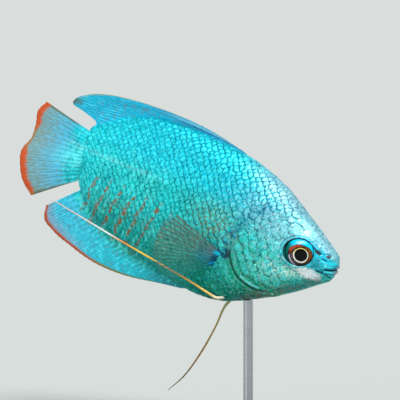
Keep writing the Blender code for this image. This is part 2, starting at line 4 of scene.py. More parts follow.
import bpy
import numpy as np
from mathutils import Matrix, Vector


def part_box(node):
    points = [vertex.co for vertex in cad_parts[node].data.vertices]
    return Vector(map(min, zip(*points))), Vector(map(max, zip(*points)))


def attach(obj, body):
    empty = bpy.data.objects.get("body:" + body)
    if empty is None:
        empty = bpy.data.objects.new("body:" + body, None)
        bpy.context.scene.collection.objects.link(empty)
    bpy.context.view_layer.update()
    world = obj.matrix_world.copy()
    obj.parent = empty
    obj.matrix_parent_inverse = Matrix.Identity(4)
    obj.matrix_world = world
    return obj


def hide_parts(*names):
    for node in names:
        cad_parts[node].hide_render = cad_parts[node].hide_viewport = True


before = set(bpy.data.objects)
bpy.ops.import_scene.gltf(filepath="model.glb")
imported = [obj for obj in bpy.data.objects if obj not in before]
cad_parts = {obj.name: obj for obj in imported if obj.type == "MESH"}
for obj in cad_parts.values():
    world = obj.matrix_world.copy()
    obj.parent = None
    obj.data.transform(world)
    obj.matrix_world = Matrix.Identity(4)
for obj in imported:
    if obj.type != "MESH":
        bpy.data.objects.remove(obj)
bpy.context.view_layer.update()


# The skin: one seamless hide over head, jaw, gill covers, trunk and tail base. It is thin, wet and
# pale turquoise, with no scales of its own on the snout and lips. It is lofted through the same
# stations as the solids, a scale's depth inside them, and carved at the eyes, mouth and gills.
MM = 0.001
SNOUT = np.array((0.0298, 0.0, 0.0354))
NOSE_DOWN = math.radians(22.0)
STATIONS = (
    (0.0, 1.7, -2.9, -0.7, 1.7), (3.0, 3.6, -5.3, -0.8, 2.9),
    (6.0, 5.5, -7.8, -1.2, 3.7), (10.0, 7.7, -10.6, -1.8, 4.5),
    (15.0, 10.5, -13.5, -2.2, 5.1), (20.0, 12.4, -15.9, -2.4, 5.4),
    (26.0, 13.8, -16.9, -2.0, 5.3), (33.0, 14.3, -16.2, -1.0, 4.9),
    (40.0, 14.4, -14.7, -0.2, 4.3), (47.0, 13.7, -12.7, 0.4, 3.5),
    (53.0, 11.7, -10.8, 0.6, 2.7), (57.0, 8.8, -8.6, 0.6, 2.1),
    (61.0, 6.4, -5.2, 0.6, 1.5),
)
BODY_LENGTH = 61.2
NOSE_HEIGHT_ROUND, NOSE_WIDTH_ROUND, TAIL_ROUND = 0.9, 2.2, 1.4
LEAN, LEAN_FROM = 0.17, 54.0
BACK_SHARPNESS, BELLY_SHARPNESS = 1.2, 1.05
COAT_DEPTH = 0.1
EYE_BACK, EYE_UP, EYE_OUT = 8.0, 0.1, 3.3
EYE_SQUASH = (0.95, 1.07)
EYEBALL = 2.9
MOUTH = ((-0.9, -0.3), (0.17, -0.56), (0.9, -1.05), (1.9, -1.25))
JAW_FOLD = ((2.2, -2.0), (2.6, -2.15), (3.6, -2.1))
CHIN_FOLD = ((0.4, -1.65), (1.25, -2.05), (2.2, -2.2))
NOSTRILS = ((4.2, 1.5, 0.36), (2.1, 1.4, 0.28))
GILL_LINE = (
    (19.4, 15.5), (19.8, 11.0), (20.7, 6.0), (21.5, 1.5), (21.6, -3.0),
    (20.9, -6.2), (19.0, -8.7), (16.2, -10.5), (13.4, -11.6), (11.6, -14.5),
)
GILL_SLIT = (
    (21.4, 0.5), (21.5, -3.0), (20.8, -6.0), (19.8, -7.5), (18.7, -8.8),
    (17.6, -9.65), (16.4, -10.15), (15.1, -10.5), (13.7, -10.6), (12.2, -10.45),
    (10.2, -10.1),
)
GILL_OPENS_BELOW = 4.6
CHEEK_BONE = ((10.5, 3.6), (12.9, 1.6), (13.4, -2.0), (12.8, -5.6), (10.4, -8.0), (7.4, -8.2))


def in_row(points):
    """Fish points (back from the snout, side, up), in millimetres, turned nose down about the
    snout tip and moved to the row frame, in metres."""
    back, side, up = np.moveaxis(points, -1, 0)
    ahead = -back * math.cos(NOSE_DOWN) + up * math.sin(NOSE_DOWN)
    above = back * math.sin(NOSE_DOWN) + up * math.cos(NOSE_DOWN)
    return np.stack([ahead, side, above], axis=-1) * MM + SNOUT


def smooth_values(points, wanted):
    """Cubic curve through (place, value, ...) points, each with the slope of its neighbours."""
    table = np.array(points, float)
    place, value = table[:, 0], table[:, 1:]
    slope = np.gradient(value, place, axis=0)
    wanted = np.clip(np.asarray(wanted, float), place[0], place[-1])
    i = np.clip(np.searchsorted(place, wanted, side="right") - 1, 0, len(place) - 2)
    width = (place[i + 1] - place[i])[..., None]
    t = (wanted - place[i])[..., None] / width
    start = value[i] * (1 + 2 * t) * (1 - t) ** 2 + slope[i] * width * t * (1 - t) ** 2
    end = value[i + 1] * t * t * (3 - 2 * t) + slope[i + 1] * width * t * t * (t - 1)
    return start + end


def smooth_path(points, steps):
    """A smooth curve through the points, with this many steps from each to the next."""
    points = np.array(points, float)
    run = np.concatenate([[0], np.cumsum(np.linalg.norm(np.diff(points, axis=0), axis=1))])
    last = len(run) - 1
    place = np.interp(np.linspace(0, last, last * steps + 1), range(last + 1), run)
    return smooth_values(np.column_stack([run, points]), place)


def distance_to(back, up, line):
    """Distance in the side view from each point to a line of straight pieces."""
    line = np.array(line, float)
    points = np.stack([back, up], axis=-1)[..., None, :]
    step = np.diff(line, axis=0)
    share = np.clip(((points - line[:-1]) * step).sum(-1) / (step * step).sum(-1), 0, 1)
    return np.linalg.norm(points - line[:-1] - share[..., None] * step, axis=-1).min(-1)


def full_turn(steps):
    """Angles at even steps once round."""
    return np.linspace(0, 2 * math.pi, steps, endpoint=False)


def ease(value, low, high):
    """Smooth step: 0 at low, 1 at high."""
    t = np.clip((value - low) / (high - low), 0, 1)
    return t * t * (3 - 2 * t)


def bump_at(distance, reach):
    """Bell curve: 1 at no distance, about a third at the reach."""
    return np.exp(-((distance / reach) ** 2))


def quarter_round(distance, length):
    """Share of full size at this distance from an end rounded like a quarter circle."""
    return np.sqrt(1 - (1 - np.clip(distance / length, 0, 1)) ** 2)


def eye_distance(back, up):
    """Distance from the eye's centre in the side view, the opening being a little longer than it
    is tall."""
    return np.hypot((back - EYE_BACK) * EYE_SQUASH[0], (up - EYE_UP) * EYE_SQUASH[1])


def ahead_of_gill(back, up):
    """How far a point lies in front of the gill opening, along the body."""
    line = smooth_path(GILL_LINE, 6)[::-1]
    return np.interp(up, line[:, 1], line[:, 0]) - back


def head_relief(back, up):
    """How far the sides of the head stand out: eye rim, lips and the gill cover over the trunk."""
    from_eye = eye_distance(back, up)
    rim = 0.3 * bump_at(from_eye - 3.3, 0.8)
    cover = 0.35 * np.clip((back - 12.0) / 8.0, 0, 1) * np.clip(1 - ((up + 2.5) / 10.0) ** 4, 0, 1)
    lips = 0.28 * bump_at(distance_to(back, up, MOUTH), 0.8)
    return (rim + cover + lips) * ease(ahead_of_gill(back, up), -0.28, 0.0)


def body_point(back, angle):
    """Point of the body: oval section through the station's top, belly and widest height, with
    the nose and the tail end rounded, the side drawn out by the head's relief."""
    back, angle = np.broadcast_arrays(np.asarray(back, float), angle)
    top, bottom, middle, width = np.moveaxis(smooth_values(STATIONS, back), -1, 0)
    from_tail = quarter_round(BODY_LENGTH - COAT_DEPTH - back, TAIL_ROUND)
    tall = quarter_round(back - COAT_DEPTH, NOSE_HEIGHT_ROUND) * from_tail
    wide = quarter_round(back - COAT_DEPTH, NOSE_WIDTH_ROUND) * from_tail
    lift, reach = np.sin(angle), np.cos(angle)
    above = lift > 0
    up = middle + np.where(above, top - middle, middle - bottom) * lift * tall
    up = up - COAT_DEPTH * lift
    sharpness = np.where(above, BACK_SHARPNESS, BELLY_SHARPNESS)
    out = (width - COAT_DEPTH) * wide * np.abs(reach) ** sharpness
    out = out + head_relief(back, up) * np.abs(reach) ** 0.6 * np.clip(back / 0.6, 0, 1)
    lean = np.clip((back - LEAN_FROM) / (BODY_LENGTH - LEAN_FROM), 0, 1)
    return np.stack([back + LEAN * (up - 0.6) * lean, -out * np.sign(reach), up], axis=-1)


def body_normal(back, angle):
    """Outward direction of the body, from the cross product of its two slopes."""
    step = 0.02
    along = body_point(back + step, angle) - body_point(back - step, angle)
    around = body_point(back, angle + step * 0.3) - body_point(back, angle - step * 0.3)
    normal = np.cross(along, around)
    return normal / (np.linalg.norm(normal, axis=-1, keepdims=True) + 1e-9)


def carving(back, up):
    """Fine depth of the skin, in millimetres: the eye's socket and ring folds, the slit of the
    mouth between its lips, jaw and chin folds, nostrils, cheek bone edge and gill opening."""
    from_eye = eye_distance(back, up)
    socket = -1.3 * (1 - ease(from_eye, 2.5, 2.92))
    rings = 0.07 * bump_at(from_eye - 3.15, 0.13) - 0.08 * bump_at(from_eye - 3.4, 0.1)
    from_mouth = distance_to(back, up, smooth_path(MOUTH, 4))
    mouth = 0.17 * bump_at(from_mouth - 0.45, 0.3) - 0.5 * bump_at(from_mouth, 0.13)
    folds = -0.2 * bump_at(distance_to(back, up, smooth_path(JAW_FOLD, 3)), 0.17)
    folds = folds - 0.1 * bump_at(distance_to(back, up, smooth_path(CHIN_FOLD, 3)), 0.16)
    cheek = -0.1 * bump_at(distance_to(back, up, smooth_path(CHEEK_BONE, 4)), 0.2)
    pits = sum(-0.4 * bump_at(np.hypot(back - b, up - u), size) for b, u, size in NOSTRILS)
    gap = distance_to(back, up, smooth_path(GILL_SLIT, 4))
    gill = (-0.34 * bump_at(gap, 0.17) + 0.12 * bump_at(gap - 0.6, 0.3)) * ease(up, -2.0, -5.0)
    return socket + rings + mouth + folds + cheek + pits + gill


def grid_faces(rows, columns, closed):
    """Quads of a grid of points counted row by row; a closed one joins its last column to its
    first."""
    steps = columns if closed else columns - 1
    i, j = np.meshgrid(np.arange(rows - 1), np.arange(steps), indexing="ij")
    k = (j + 1) % columns
    first, second = i * columns, (i + 1) * columns
    return np.stack([first + j, first + k, second + k, second + j], axis=-1).reshape(-1, 4)


def fan_faces(hub, ring, outwards):
    """Triangles from one point to each step of a closed ring."""
    after = np.roll(ring, -1)
    corners = (ring, after) if outwards else (after, ring)
    return np.stack([np.full(len(ring), hub), *corners], axis=-1)


def new_piece(name, points, *face_sets, to_row=in_row):
    """A smooth mesh from points and arrays of faces, put into the row frame by to_row. It keeps
    each point's own place, on the fish and in millimetres, as the attribute fish."""
    mesh = bpy.data.meshes.new(name)
    corners = np.concatenate([faces.ravel() for faces in face_sets]).astype(np.int32)
    sizes = np.concatenate([np.full(len(faces), faces.shape[1]) for faces in face_sets])
    mesh.vertices.add(len(points))
    mesh.vertices.foreach_set("co", to_row(points).astype(np.float32).ravel())
    mesh.loops.add(len(corners))
    mesh.loops.foreach_set("vertex_index", corners)
    mesh.polygons.add(len(sizes))
    mesh.polygons.foreach_set("loop_start", (np.cumsum(sizes) - sizes).astype(np.int32))
    mesh.update(calc_edges=True)
    mesh.validate()
    mesh.shade_smooth()
    keep_vector(mesh, "fish", points)
    piece = bpy.data.objects.new(name, mesh)
    bpy.context.scene.collection.objects.link(piece)
    return piece


def turned_out(mesh):
    """Flips the whole mesh if its closed volume counts as negative."""
    mesh.calc_loop_triangles()
    corners = np.zeros(len(mesh.loop_triangles) * 3, np.int32)
    mesh.loop_triangles.foreach_get("vertices", corners)
    place = np.zeros(len(mesh.vertices) * 3, np.float32)
    mesh.vertices.foreach_get("co", place)
    a, b, c = place.reshape(-1, 3).astype(float)[corners.reshape(-1, 3)].transpose(1, 0, 2)
    if np.einsum("ij,ij->", a, np.cross(b, c)) < 0:
        mesh.flip_normals()


def capped_tube(name, rings, start, end, to_row=in_row):
    """A closed mesh, facing outwards, over rings of points, each joined to the next, with a fan at
    either end to a point of its own."""
    count, sides = rings.shape[:2]
    last = count * sides
    piece = new_piece(
        name,
        np.concatenate([rings.reshape(-1, 3), [start, end]]),
        grid_faces(count, sides, closed=True),
        fan_faces(last, np.arange(sides), outwards=False),
        fan_faces(last + 1, np.arange(last - sides, last), outwards=True),
        to_row=to_row,
    )
    turned_out(piece.data)
    return piece


def keep_vector(mesh, name, values):
    """Stores three numbers for each point under a name that materials read."""
    kept = mesh.attributes.new(name, "FLOAT_VECTOR", "POINT")
    kept.data.foreach_set("vector", values.astype(np.float32).ravel())


def bake_map(mesh, place):
    """The piece's own unwrap, one place for each point."""
    corner = np.zeros(len(mesh.loops), np.int32)
    mesh.loops.foreach_get("vertex_index", corner)
    unwrap = mesh.uv_layers.new(name="OFBake")
    unwrap.data.foreach_set("uv", place[corner].astype(np.float32).ravel())


def colour(red, green, blue):
    """A screen colour from 0 to 255, made linear."""
    parts = [c / 255 for c in (red, green, blue)]
    linear = [p / 12.92 if p <= 0.04045 else ((p + 0.055) / 1.055) ** 2.4 for p in parts]
    return (*linear, 1.0)


class Value:
    """A shader socket that can stand in a sum as a number."""

    def __init__(self, finish, socket):
        self.finish, self.socket = finish, socket

    def maths(self, operation, first, second):
        return self.finish.node("Math", {"operation": operation}, {0: first, 1: second})

    def __add__(self, other):
        return self.maths("ADD", self, other)

    def __sub__(self, other):
        return self.maths("SUBTRACT", self, other)

    def __rsub__(self, other):
        return self.maths("SUBTRACT", other, self)

    def __mul__(self, other):
        return self.maths("MULTIPLY", self, other)

    def __pow__(self, power):
        return self.maths("POWER", self, power)

    __radd__ = __add__
    __rmul__ = __mul__

    def larger(self, other):
        return self.maths("MAXIMUM", self, other)

    def magnitude(self):
        return self.maths("ABSOLUTE", self, 0.0)

    def rise(self, low, high):
        """0 at low and 1 at high, smooth between; it falls where low is the larger."""
        sockets = {"Value": self, "From Min": low, "From Max": high}
        return self.finish.node("MapRange", {"interpolation_type": "SMOOTHSTEP"}, sockets)

    def bell(self, centre, reach):
        """1 at the centre, falling to 0 at the reach on either side."""
        return (self - centre).magnitude().rise(reach, 0.0)


class Finish:
    """A material: a Principled shader and the nodes that feed it."""

    def __init__(self, name, **constants):
        self.material = bpy.data.materials.new(name)
        self.material.use_nodes = True
        self.tree = self.material.node_tree
        self.shader = self.tree.nodes["Principled BSDF"]
        self.feed(**constants)

    def node(self, kind, settings, sockets, output=0):
        """Any node: its settings first, then its sockets' values or links."""
        made = self.tree.nodes.new("ShaderNode" + kind)
        for name, value in settings.items():
            setattr(made, name, value)
        for name, value in sockets.items():
            self.join(value, made.inputs[name])
        return Value(self, made.outputs[output])

    def join(self, value, socket):
        """Links a Value to the socket, or sets the socket itself to a constant."""
        if isinstance(value, Value):
            self.tree.links.new(value.socket, socket)
        else:
            socket.default_value = value

    def feed(self, **sockets):
        """Joins values to the shader's inputs by their names."""
        for name, value in sockets.items():
            self.join(value, self.shader.inputs[name.replace("_", " ")])

    def attribute(self, name):
        """The attribute as a vector, and its three parts as numbers."""
        vector = self.node("Attribute", {"attribute_name": name}, {}, output=1)
        parts = self.node("SeparateXYZ", {}, {0: vector})
        return vector, [Value(self, s) for s in parts.socket.node.outputs]

    def noise(self, vector, size, detail=3.0):
        """Cloudy pattern from 0 to 1 with patches about this many millimetres across."""
        return self.node("TexNoise", {}, {"Vector": vector, "Scale": 1.0 / size, "Detail": detail})

    def stretched(self, vector, scale, detail):
        """Cloudy pattern with its own scale along each axis."""
        place = self.node("Mapping", {}, {"Vector": vector, "Scale": scale})
        return self.node("TexNoise", {}, {"Vector": place, "Scale": 1.0, "Detail": detail})

    def mix(self, share, first, second):
        """Two colours mixed by a share; a plain one is a screen colour from 0 to 255."""
        first, second = (colour(*c) if isinstance(c, tuple) else c for c in (first, second))
        return self.node("Mix", {"data_type": "RGBA"}, {0: share, 6: first, 7: second}, output=2)

    def layers(self, tone, *coats):
        """Colours laid over one another, each by its own share."""
        for share, shade in coats:
            tone = self.mix(share, tone, shade)
        return tone

    def bumps(self, height, depth_mm):
        """A bump from a height pattern between 0 and 1, this many millimetres deep."""
        return self.node("Bump", {}, {"Strength": 1.0, "Distance": depth_mm * MM, "Height": height})


RUST = (148, 84, 18)
COLUMN_LEAN = 0.23
FIRST_BAR, BAR_PITCH, DASH_PITCH = 41.7, 3.15, 2.07


def rust_bars(finish, vector, back, up):
    """Short rust dashes in leaning bars, one to every second column of scales: near to a whole
    number of bar pitches along the body and of dash pitches down it, both shaken by noise."""
    shake = finish.noise(vector, 2.6, detail=1.0) - 0.5
    bar = (back + up * COLUMN_LEAN - FIRST_BAR) * (1 / BAR_PITCH) + shake * 0.7
    dash = up * (1 / DASH_PITCH) + bar * 0.31 + shake * 1.6
    on_bar = bar.maths("PINGPONG", bar, 0.5).rise(0.16, 0.03)
    on_dash = (dash.maths("PINGPONG", dash, 0.5) + shake * 0.7).rise(0.46, 0.26)
    zone = (back + up * 0.5).rise(32.0, 38.0) * up.rise(-1.0, -3.5)
    zone = zone * up.rise(-15.0, -12.5) * back.rise(58.5, 56.0)
    return on_bar * on_dash * zone * (0.8 + shake * 1.4)


def trunk_markings(finish, fish):
    """The living colours, with painted light in some, read from a point's place on the fish: pale
    forehead and cheek, the cheek's pale patch a painted highlight; strong cyan back and flank; teal
    breast and mottled belly, darker below partly of their own and partly as painted shade; and rust
    dashes low on the rear flank."""
    vector, (back, side, up) = fish
    cloud = finish.noise(vector, 4.5)
    fleck = finish.noise(vector, 0.55, detail=3.0)
    # The low flank and the breast are darker: partly the fish's own deeper teal, partly painted
    # shade.
    low = up.rise(-3.0, -9.0) * back.rise(60.0, 52.0)
    breast = up.rise(-6.0, -11.0) * back.rise(34.0, 24.0)
    brow = (back + up * 0.5).rise(31.0, 14.0) * up.rise(-1.5, 4.0)
    crest = (side * side).rise(10.0, 1.5) * back.rise(28.0, 18.0) * up.rise(0.0, 2.5)
    # The lower cheek is darker teal: partly its own colour, partly painted shade.
    cheek = back.rise(24.0, 17.0) * up.rise(2.0, -4.0) * up.rise(-13.0, -9.0)
    mint = back.bell(13.0, 7.0) * up.bell(-5.4, 4.0) * fleck.rise(0.36, 0.56)
    # Painted highlight on the cheek behind the eye.
    cheek_highlight = back.bell(13.0, 7.5) * up.bell(2.2, 6.0)
    dusky = (back - up * 0.4).bell(26.5, 9.0) * up.bell(-1.5, 6.5)
    # The throat is darker: partly its own colour, partly painted shade under the head.
    throat = up.rise(-9.8, -12.5) * back.rise(20.0, 12.0)
    pearls = back.rise(38.0, 46.0) * (up + back * 0.03).bell(3.9, 0.8) * fleck.rise(0.35, 0.6)
    head = back.rise(26.0, 12.0)
    mottle = finish.noise(vector, 0.9, detail=4.0)
    light = mottle.rise(0.5, 0.64) * (0.35 + 0.4 * head * up.rise(-9.0, -2.0))
    streaked = finish.node("CombineXYZ", {}, {"X": (back + up * COLUMN_LEAN) * 1.3, "Y": up * 0.3})
    streak = finish.noise(streaked, 1.0, detail=2.0)
    rear = back.rise(30.0, 44.0) * up.rise(8.0, 2.0)
    to_edge = {"feature": "DISTANCE_TO_EDGE"}
    seam = finish.node("TexVoronoi", to_edge, {"Vector": vector, "Scale": 0.85})
    seams = seam.rise(0.09, 0.02) * head * mottle.rise(0.42, 0.56) * up.rise(-9.0, -6.0)
    fine = finish.noise(vector, 0.36, detail=1.0)
    haze = back.bell(47.0, 11.0) * up.bell(-7.0, 4.5) * streak.rise(0.46, 0.58)
    return finish.layers(
        (0, 168, 160),
        (cloud.rise(0.35, 0.65), (0, 204, 202)),
        (up.rise(1.0, 6.0), (0, 206, 232)),
        (back.rise(46.0, 60.0) * 0.7, (10, 216, 230)),
        (low * 0.9, (0, 162, 146)),
        (low * cloud.rise(0.42, 0.62) * 0.7, (52, 140, 110)),
        (breast * 0.9, (0, 148, 112)),
        (brow * 0.9, (52, 172, 184)),
        (brow * cloud.rise(0.45, 0.6) * 0.4, (122, 176, 200)),
        (crest * 0.65, (158, 216, 230)),
        (cheek * 0.8, (0, 180, 142)),
        (mint * 0.75, (146, 236, 204)),
        # Painted highlight on the cheek.
        (cheek_highlight * 0.8, (128, 218, 224)),
        (throat * 0.8, (40, 112, 78)),
        (pearls * 0.7, (150, 240, 246)),
        (light, finish.mix(head, (30, 226, 232), (196, 232, 236))),
        (fleck.rise(0.48, 0.3) * (0.5 + 0.3 * head), (0, 118, 132)),
        (streak.rise(0.52, 0.66) * rear * 0.65, (96, 234, 230)),
        (streak.rise(0.46, 0.34) * rear * 0.5, (0, 132, 132)),
        (brow * mottle.rise(0.4, 0.28) * 0.4, (206, 196, 226)),
        (seams * 0.6, (0, 108, 146)),
        (fine.rise(0.55, 0.7) * head * 0.5, (190, 236, 240)),
        (fine.rise(0.45, 0.3) * head * 0.45, (0, 126, 150)),
        (dusky * fleck.rise(0.42, 0.58) * 0.85, (112, 142, 74)),
        (dusky * fine.rise(0.48, 0.6) * cloud.rise(0.38, 0.52) * 0.8, (128, 92, 54)),
        (dusky * fleck.rise(0.42, 0.3) * 0.7, (0, 96, 92)),
        (haze * 0.7, (86, 112, 62)),
        (rust_bars(finish, vector, back, up) * 0.9, RUST),
    )


def near_line(back, up, line, reach):
    """1 on a line of straight pieces in the side view, falling to 0 at the reach. For each piece
    the place's share along it is held between its ends, and its distance is measured; the
    largest result counts."""
    drawn = []
    for start, end in zip(line, line[1:]):
        run = np.subtract(end, start)
        length = float(run @ run)
        share = (back - start[0]) * (run[0] / length) + (up - start[1]) * (run[1] / length)
        share = share.maths("MINIMUM", share.larger(0.0), 1.0)
        away, over = back - start[0] - share * run[0], up - start[1] - share * run[1]
        drawn.append(((away * away + over * over) ** 0.5).rise(reach, reach * 0.35))
    return reduce(Value.larger, drawn)


def fish_markings(finish, fish):
    """The trunk's colours and, over them, the face: blue snout under a pale brow, a painted white
    highlight on the cheek below the eye with painted pale flecks beside it, painted shade in the
    gill opening with its navy corner, dark folds with a painted highlight along the lower lip, and
    the navy and rust patch at the side fin's root."""
    vector, (back, _, up) = fish
    tone = trunk_markings(finish, fish)
    fleck = finish.noise(vector, 0.8, detail=2.0)
    snout = (back + up * 0.2).rise(7.5, 4.5) * (up - back * 0.42).rise(0.75, 0.15)
    jaw = near_line(back, up, ((9.0, -6.2), (2.4, -3.2)), 1.6)
    band = near_line(back, up, ((6.4, 1.7), (2.6, 0.7)), 0.9)
    # A painted white highlight on the cheek below the eye; beside it, pale painted flecks spread
    # towards the gill cover.
    white = ((back - 4.7) * 0.48) ** 2.0 + (up + 3.25) ** 2.0 + (fleck - 0.5) * 2.2
    around = near_line(back, up, ((11.0, -5.2), (6.2, -3.6)), 1.7)
    speck = finish.noise(vector, 0.4, detail=2.0)
    navy = near_line(back, up, ((22.3, -3.0), (21.2, 1.2), (19.6, 3.6), (17.6, 5.6)), 2.0)
    chin = near_line(back, up, ((16.0, -13.2), (3.0, -4.6)), 1.1)
    root = (((back - 22.0) ** 2.0 + (up + 5.9) ** 2.0) ** 0.5).rise(1.6, 0.8)
    shine = near_line(back + 0.3, up - 0.62, GILL_SLIT[5:9], 0.34)
    # Painted shade in the gill opening, along the slit under the cover's free edge.
    slit = near_line(back, up, GILL_SLIT[1:], 0.36) * back.rise(10.4, 13.0)
    slit = slit * (up - fleck).rise(-3.8, -6.6)
    tone = finish.layers(
        tone,
        (snout * 0.8, finish.mix(fleck.rise(0.35, 0.6), (0, 142, 160), (0, 196, 220))),
        (snout * up.rise(-1.9, -2.6) * 0.7, (10, 166, 140)),
        (jaw * fleck.rise(0.35, 0.6) * 0.6, (60, 210, 200)),
        (band * 0.8, (10, 206, 240)),
        # Painted highlight: pale flecks and the white patch on the cheek below the eye.
        (around * speck.rise(0.42, 0.56) * 0.75, (206, 244, 234)),
        (white.rise(1.9, 0.3) * (0.8 + 0.2 * speck.rise(0.38, 0.5)), (255, 251, 253)),
        (navy * fleck.rise(0.34, 0.56) * 0.7, (0, 116, 158)),
        (navy * fleck.rise(0.54, 0.64) * 0.7, (20, 62, 72)),
        (chin * fleck.rise(0.4, 0.6) * 0.6, (122, 110, 92)),
        (root * 0.9, (0, 46, 84)),
        (root * fleck.rise(0.5, 0.62) * 0.6, (78, 56, 44)),
        (shine * fleck.rise(0.2, 0.5) * 0.75, (120, 236, 240)),
        # Painted shade in the gill opening.
        (slit * (0.55 + 0.4 * fleck), (0, 58, 48)),
    )
    beside_eye, over_eye = (back - EYE_BACK) * EYE_SQUASH[0], (up - EYE_UP) * EYE_SQUASH[1]
    from_eye = (beside_eye**2.0 + over_eye**2.0) ** 0.5
    behind_eye = (back + (up - EYE_UP) * 0.4).rise(5.2, 8.0) * fleck.rise(0.3, 0.5) * 0.7
    tone = finish.layers(
        tone,
        (from_eye.bell(3.3, 0.22) * behind_eye, (30, 206, 232)),
        (from_eye.bell(3.55, 0.18) * behind_eye, (0, 96, 128)),
        (from_eye.bell(2.86, 0.2), (0, 66, 96)),
    )
    blots = (
        ((5.2, -4.9), (2.6, -3.9), 0.7, (96, 84, 76)),
        ((2.1, -1.7), (0.4, -1.2), 0.8, (0, 96, 112)),
        ((1.3, -0.5), (0.2, -0.1), 0.7, (40, 92, 124)),
        ((4.4, -0.4), (3.0, -1.6), 1.0, (0, 128, 140)),
    )
    tone = finish.layers(
        tone,
        (snout * speck.rise(0.5, 0.6) * 0.45, (104, 226, 238)),
        (snout * speck.rise(0.46, 0.36) * 0.45, (0, 112, 140)),
    )
    for *line, reach, shade in blots:
        drawn = near_line(back, up, line, reach) * speck.rise(0.46, 0.58)
        tone = finish.mix(drawn * 0.75, tone, shade)
    folds = (
        ((8.1, 2.97), (6.9, 2.8), 0.24, (0, 84, 128)),
        ((6.9, 2.8), (5.5, 2.0), 0.28, (0, 62, 104)),
        ((5.5, 2.0), (3.85, 1.35), 0.28, (0, 54, 92)),
        ((3.85, 1.4), (2.4, 1.95), 0.22, (10, 112, 148)),
        ((4.85, 1.55), (4.05, 1.2), 0.4, (58, 20, 14)),
        ((2.5, 1.32), (2.3, 1.28), 0.4, (118, 40, 36)),
        ((3.2, 0.15), (2.2, 0.05), 0.3, (70, 236, 250)),
        ((3.2, 0.62), (2.4, 0.5), 0.26, (0, 78, 122)),
        ((1.7, 0.2), (0.9, 0.4), 0.5, (40, 226, 246)),
        ((0.2, -1.5), (-0.1, -0.1), 0.45, (120, 156, 176)),
        # A painted highlight along the lower lip.
        ((1.9, -1.75), (0.7, -1.4), 0.3, (70, 230, 240)),
        ((1.9, -1.25), (0.9, -1.05), 0.24, (24, 48, 56)),
        ((0.9, -1.05), (0.1, -0.6), 0.24, (44, 62, 74)),
        ((3.5, -2.1), (2.4, -2.06), 0.32, (0, 74, 86)),
        ((1.7, -2.25), (0.7, -2.5), 0.24, (0, 88, 88)),
        ((15.7, -5.8), (15.1, -3.6), 0.3, (0, 104, 104)),
        ((15.1, -3.6), (14.9, -1.8), 0.26, (0, 110, 120)),
    )
    for *line, reach, shade in folds:
        tone = finish.mix(near_line(back, up, line, reach) * 0.85, tone, shade)
    return tone


HEAD_STEP, TRUNK_STEP, SKIN_TURNS = 0.14, 0.5, 300
HEAD_ROWS_TO, TRUNK_ROWS_FROM = 23.5, 23.9
nose_turn, tail_turn = np.radians(np.linspace(4, 80, 14)), np.radians(np.linspace(8, 84, 10))
rows_nose = COAT_DEPTH + NOSE_HEIGHT_ROUND * (1 - np.cos(nose_turn))
rows_head = np.arange(rows_nose[-1] + HEAD_STEP, HEAD_ROWS_TO, HEAD_STEP)
rows_trunk = np.arange(TRUNK_ROWS_FROM, BODY_LENGTH - TAIL_ROUND, TRUNK_STEP)
rows_tail = BODY_LENGTH - COAT_DEPTH - TAIL_ROUND * (1 - np.sin(tail_turn))
skin_back = np.concatenate([rows_nose, rows_head, rows_trunk, rows_tail])
skin_turns = full_turn(SKIN_TURNS)
grid_back, grid_turn = np.meshgrid(skin_back, skin_turns, indexing="ij")
skin_points = body_point(grid_back, grid_turn)
depth = carving(skin_points[..., 0], skin_points[..., 2])
skin_points = skin_points + body_normal(grid_back, grid_turn) * depth[..., None]
nose_tip = (COAT_DEPTH, 0.0, skin_points[0, :, 2].mean())
tail_tip = skin_points[-1].mean(0) + (0.02, 0, 0)
skin = capped_tube("fish_skin", skin_points, nose_tip, tail_tip)
unwrap = np.stack([grid_back / BODY_LENGTH, grid_turn / (2 * math.pi)], axis=-1).reshape(-1, 2)
bake_map(skin.data, np.concatenate([unwrap, [[0.0, 0.5], [1.0, 0.5]]]))

hide = Finish(
    "wet_turquoise_skin", Roughness=0.38, Metallic=0.35, Coat_Weight=0.08, Specular_IOR_Level=0.2
)
fish = hide.attribute("fish")
pits = hide.bumps(hide.noise(fish[0], 0.35), 0.03)
hide.feed(Base_Color=fish_markings(hide, fish), Normal=pits)
skin.data.materials.append(hide.material)
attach(skin, "root")
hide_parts("head", "lower_jaw", "gill_cover_right", "gill_cover_left", "torso", "tail_base")


# The coat: overlapping bony scales, thin and smooth like a fingernail, rooted under the one before
# and free at the rear edge. Rows follow the flank; each is a closed disc bent to the skin.
SCALE_CELLS, SCALE_THICK = 5, 0.035
ROOT_RISE, EDGE_RISE, CROWN_RISE = -0.04, 0.075, 0.03
TRUNK_PITCH = ((20.0, 0.84), (40.0, 0.78), (61.0, 0.6))
ROW_PITCH = ((20.0, 1.55), (40.0, 1.45), (61.0, 1.1))
CHEEK_PITCH = ((0.0, 1.0), (30.0, 1.0))
CHEEK_ROW_PITCH = ((0.0, 2.1), (30.0, 2.1))
TRUNK_COLUMNS, CHEEK_COLUMNS, ROWS_EACH_WAY = (5.0, 64.0), (6.0, 24.0), 18
TRUNK_SCALE_PER_PITCH, TRUNK_LOOSENESS = (2.9, 1.16), 0.36
CHEEK_SCALE, CHEEK_LOOSENESS = (2.8, 2.5), 0.6
BAKE_LENGTH, BAKE_HALF_HEIGHT, BAKE_PATCH = 64, 20, 0.009


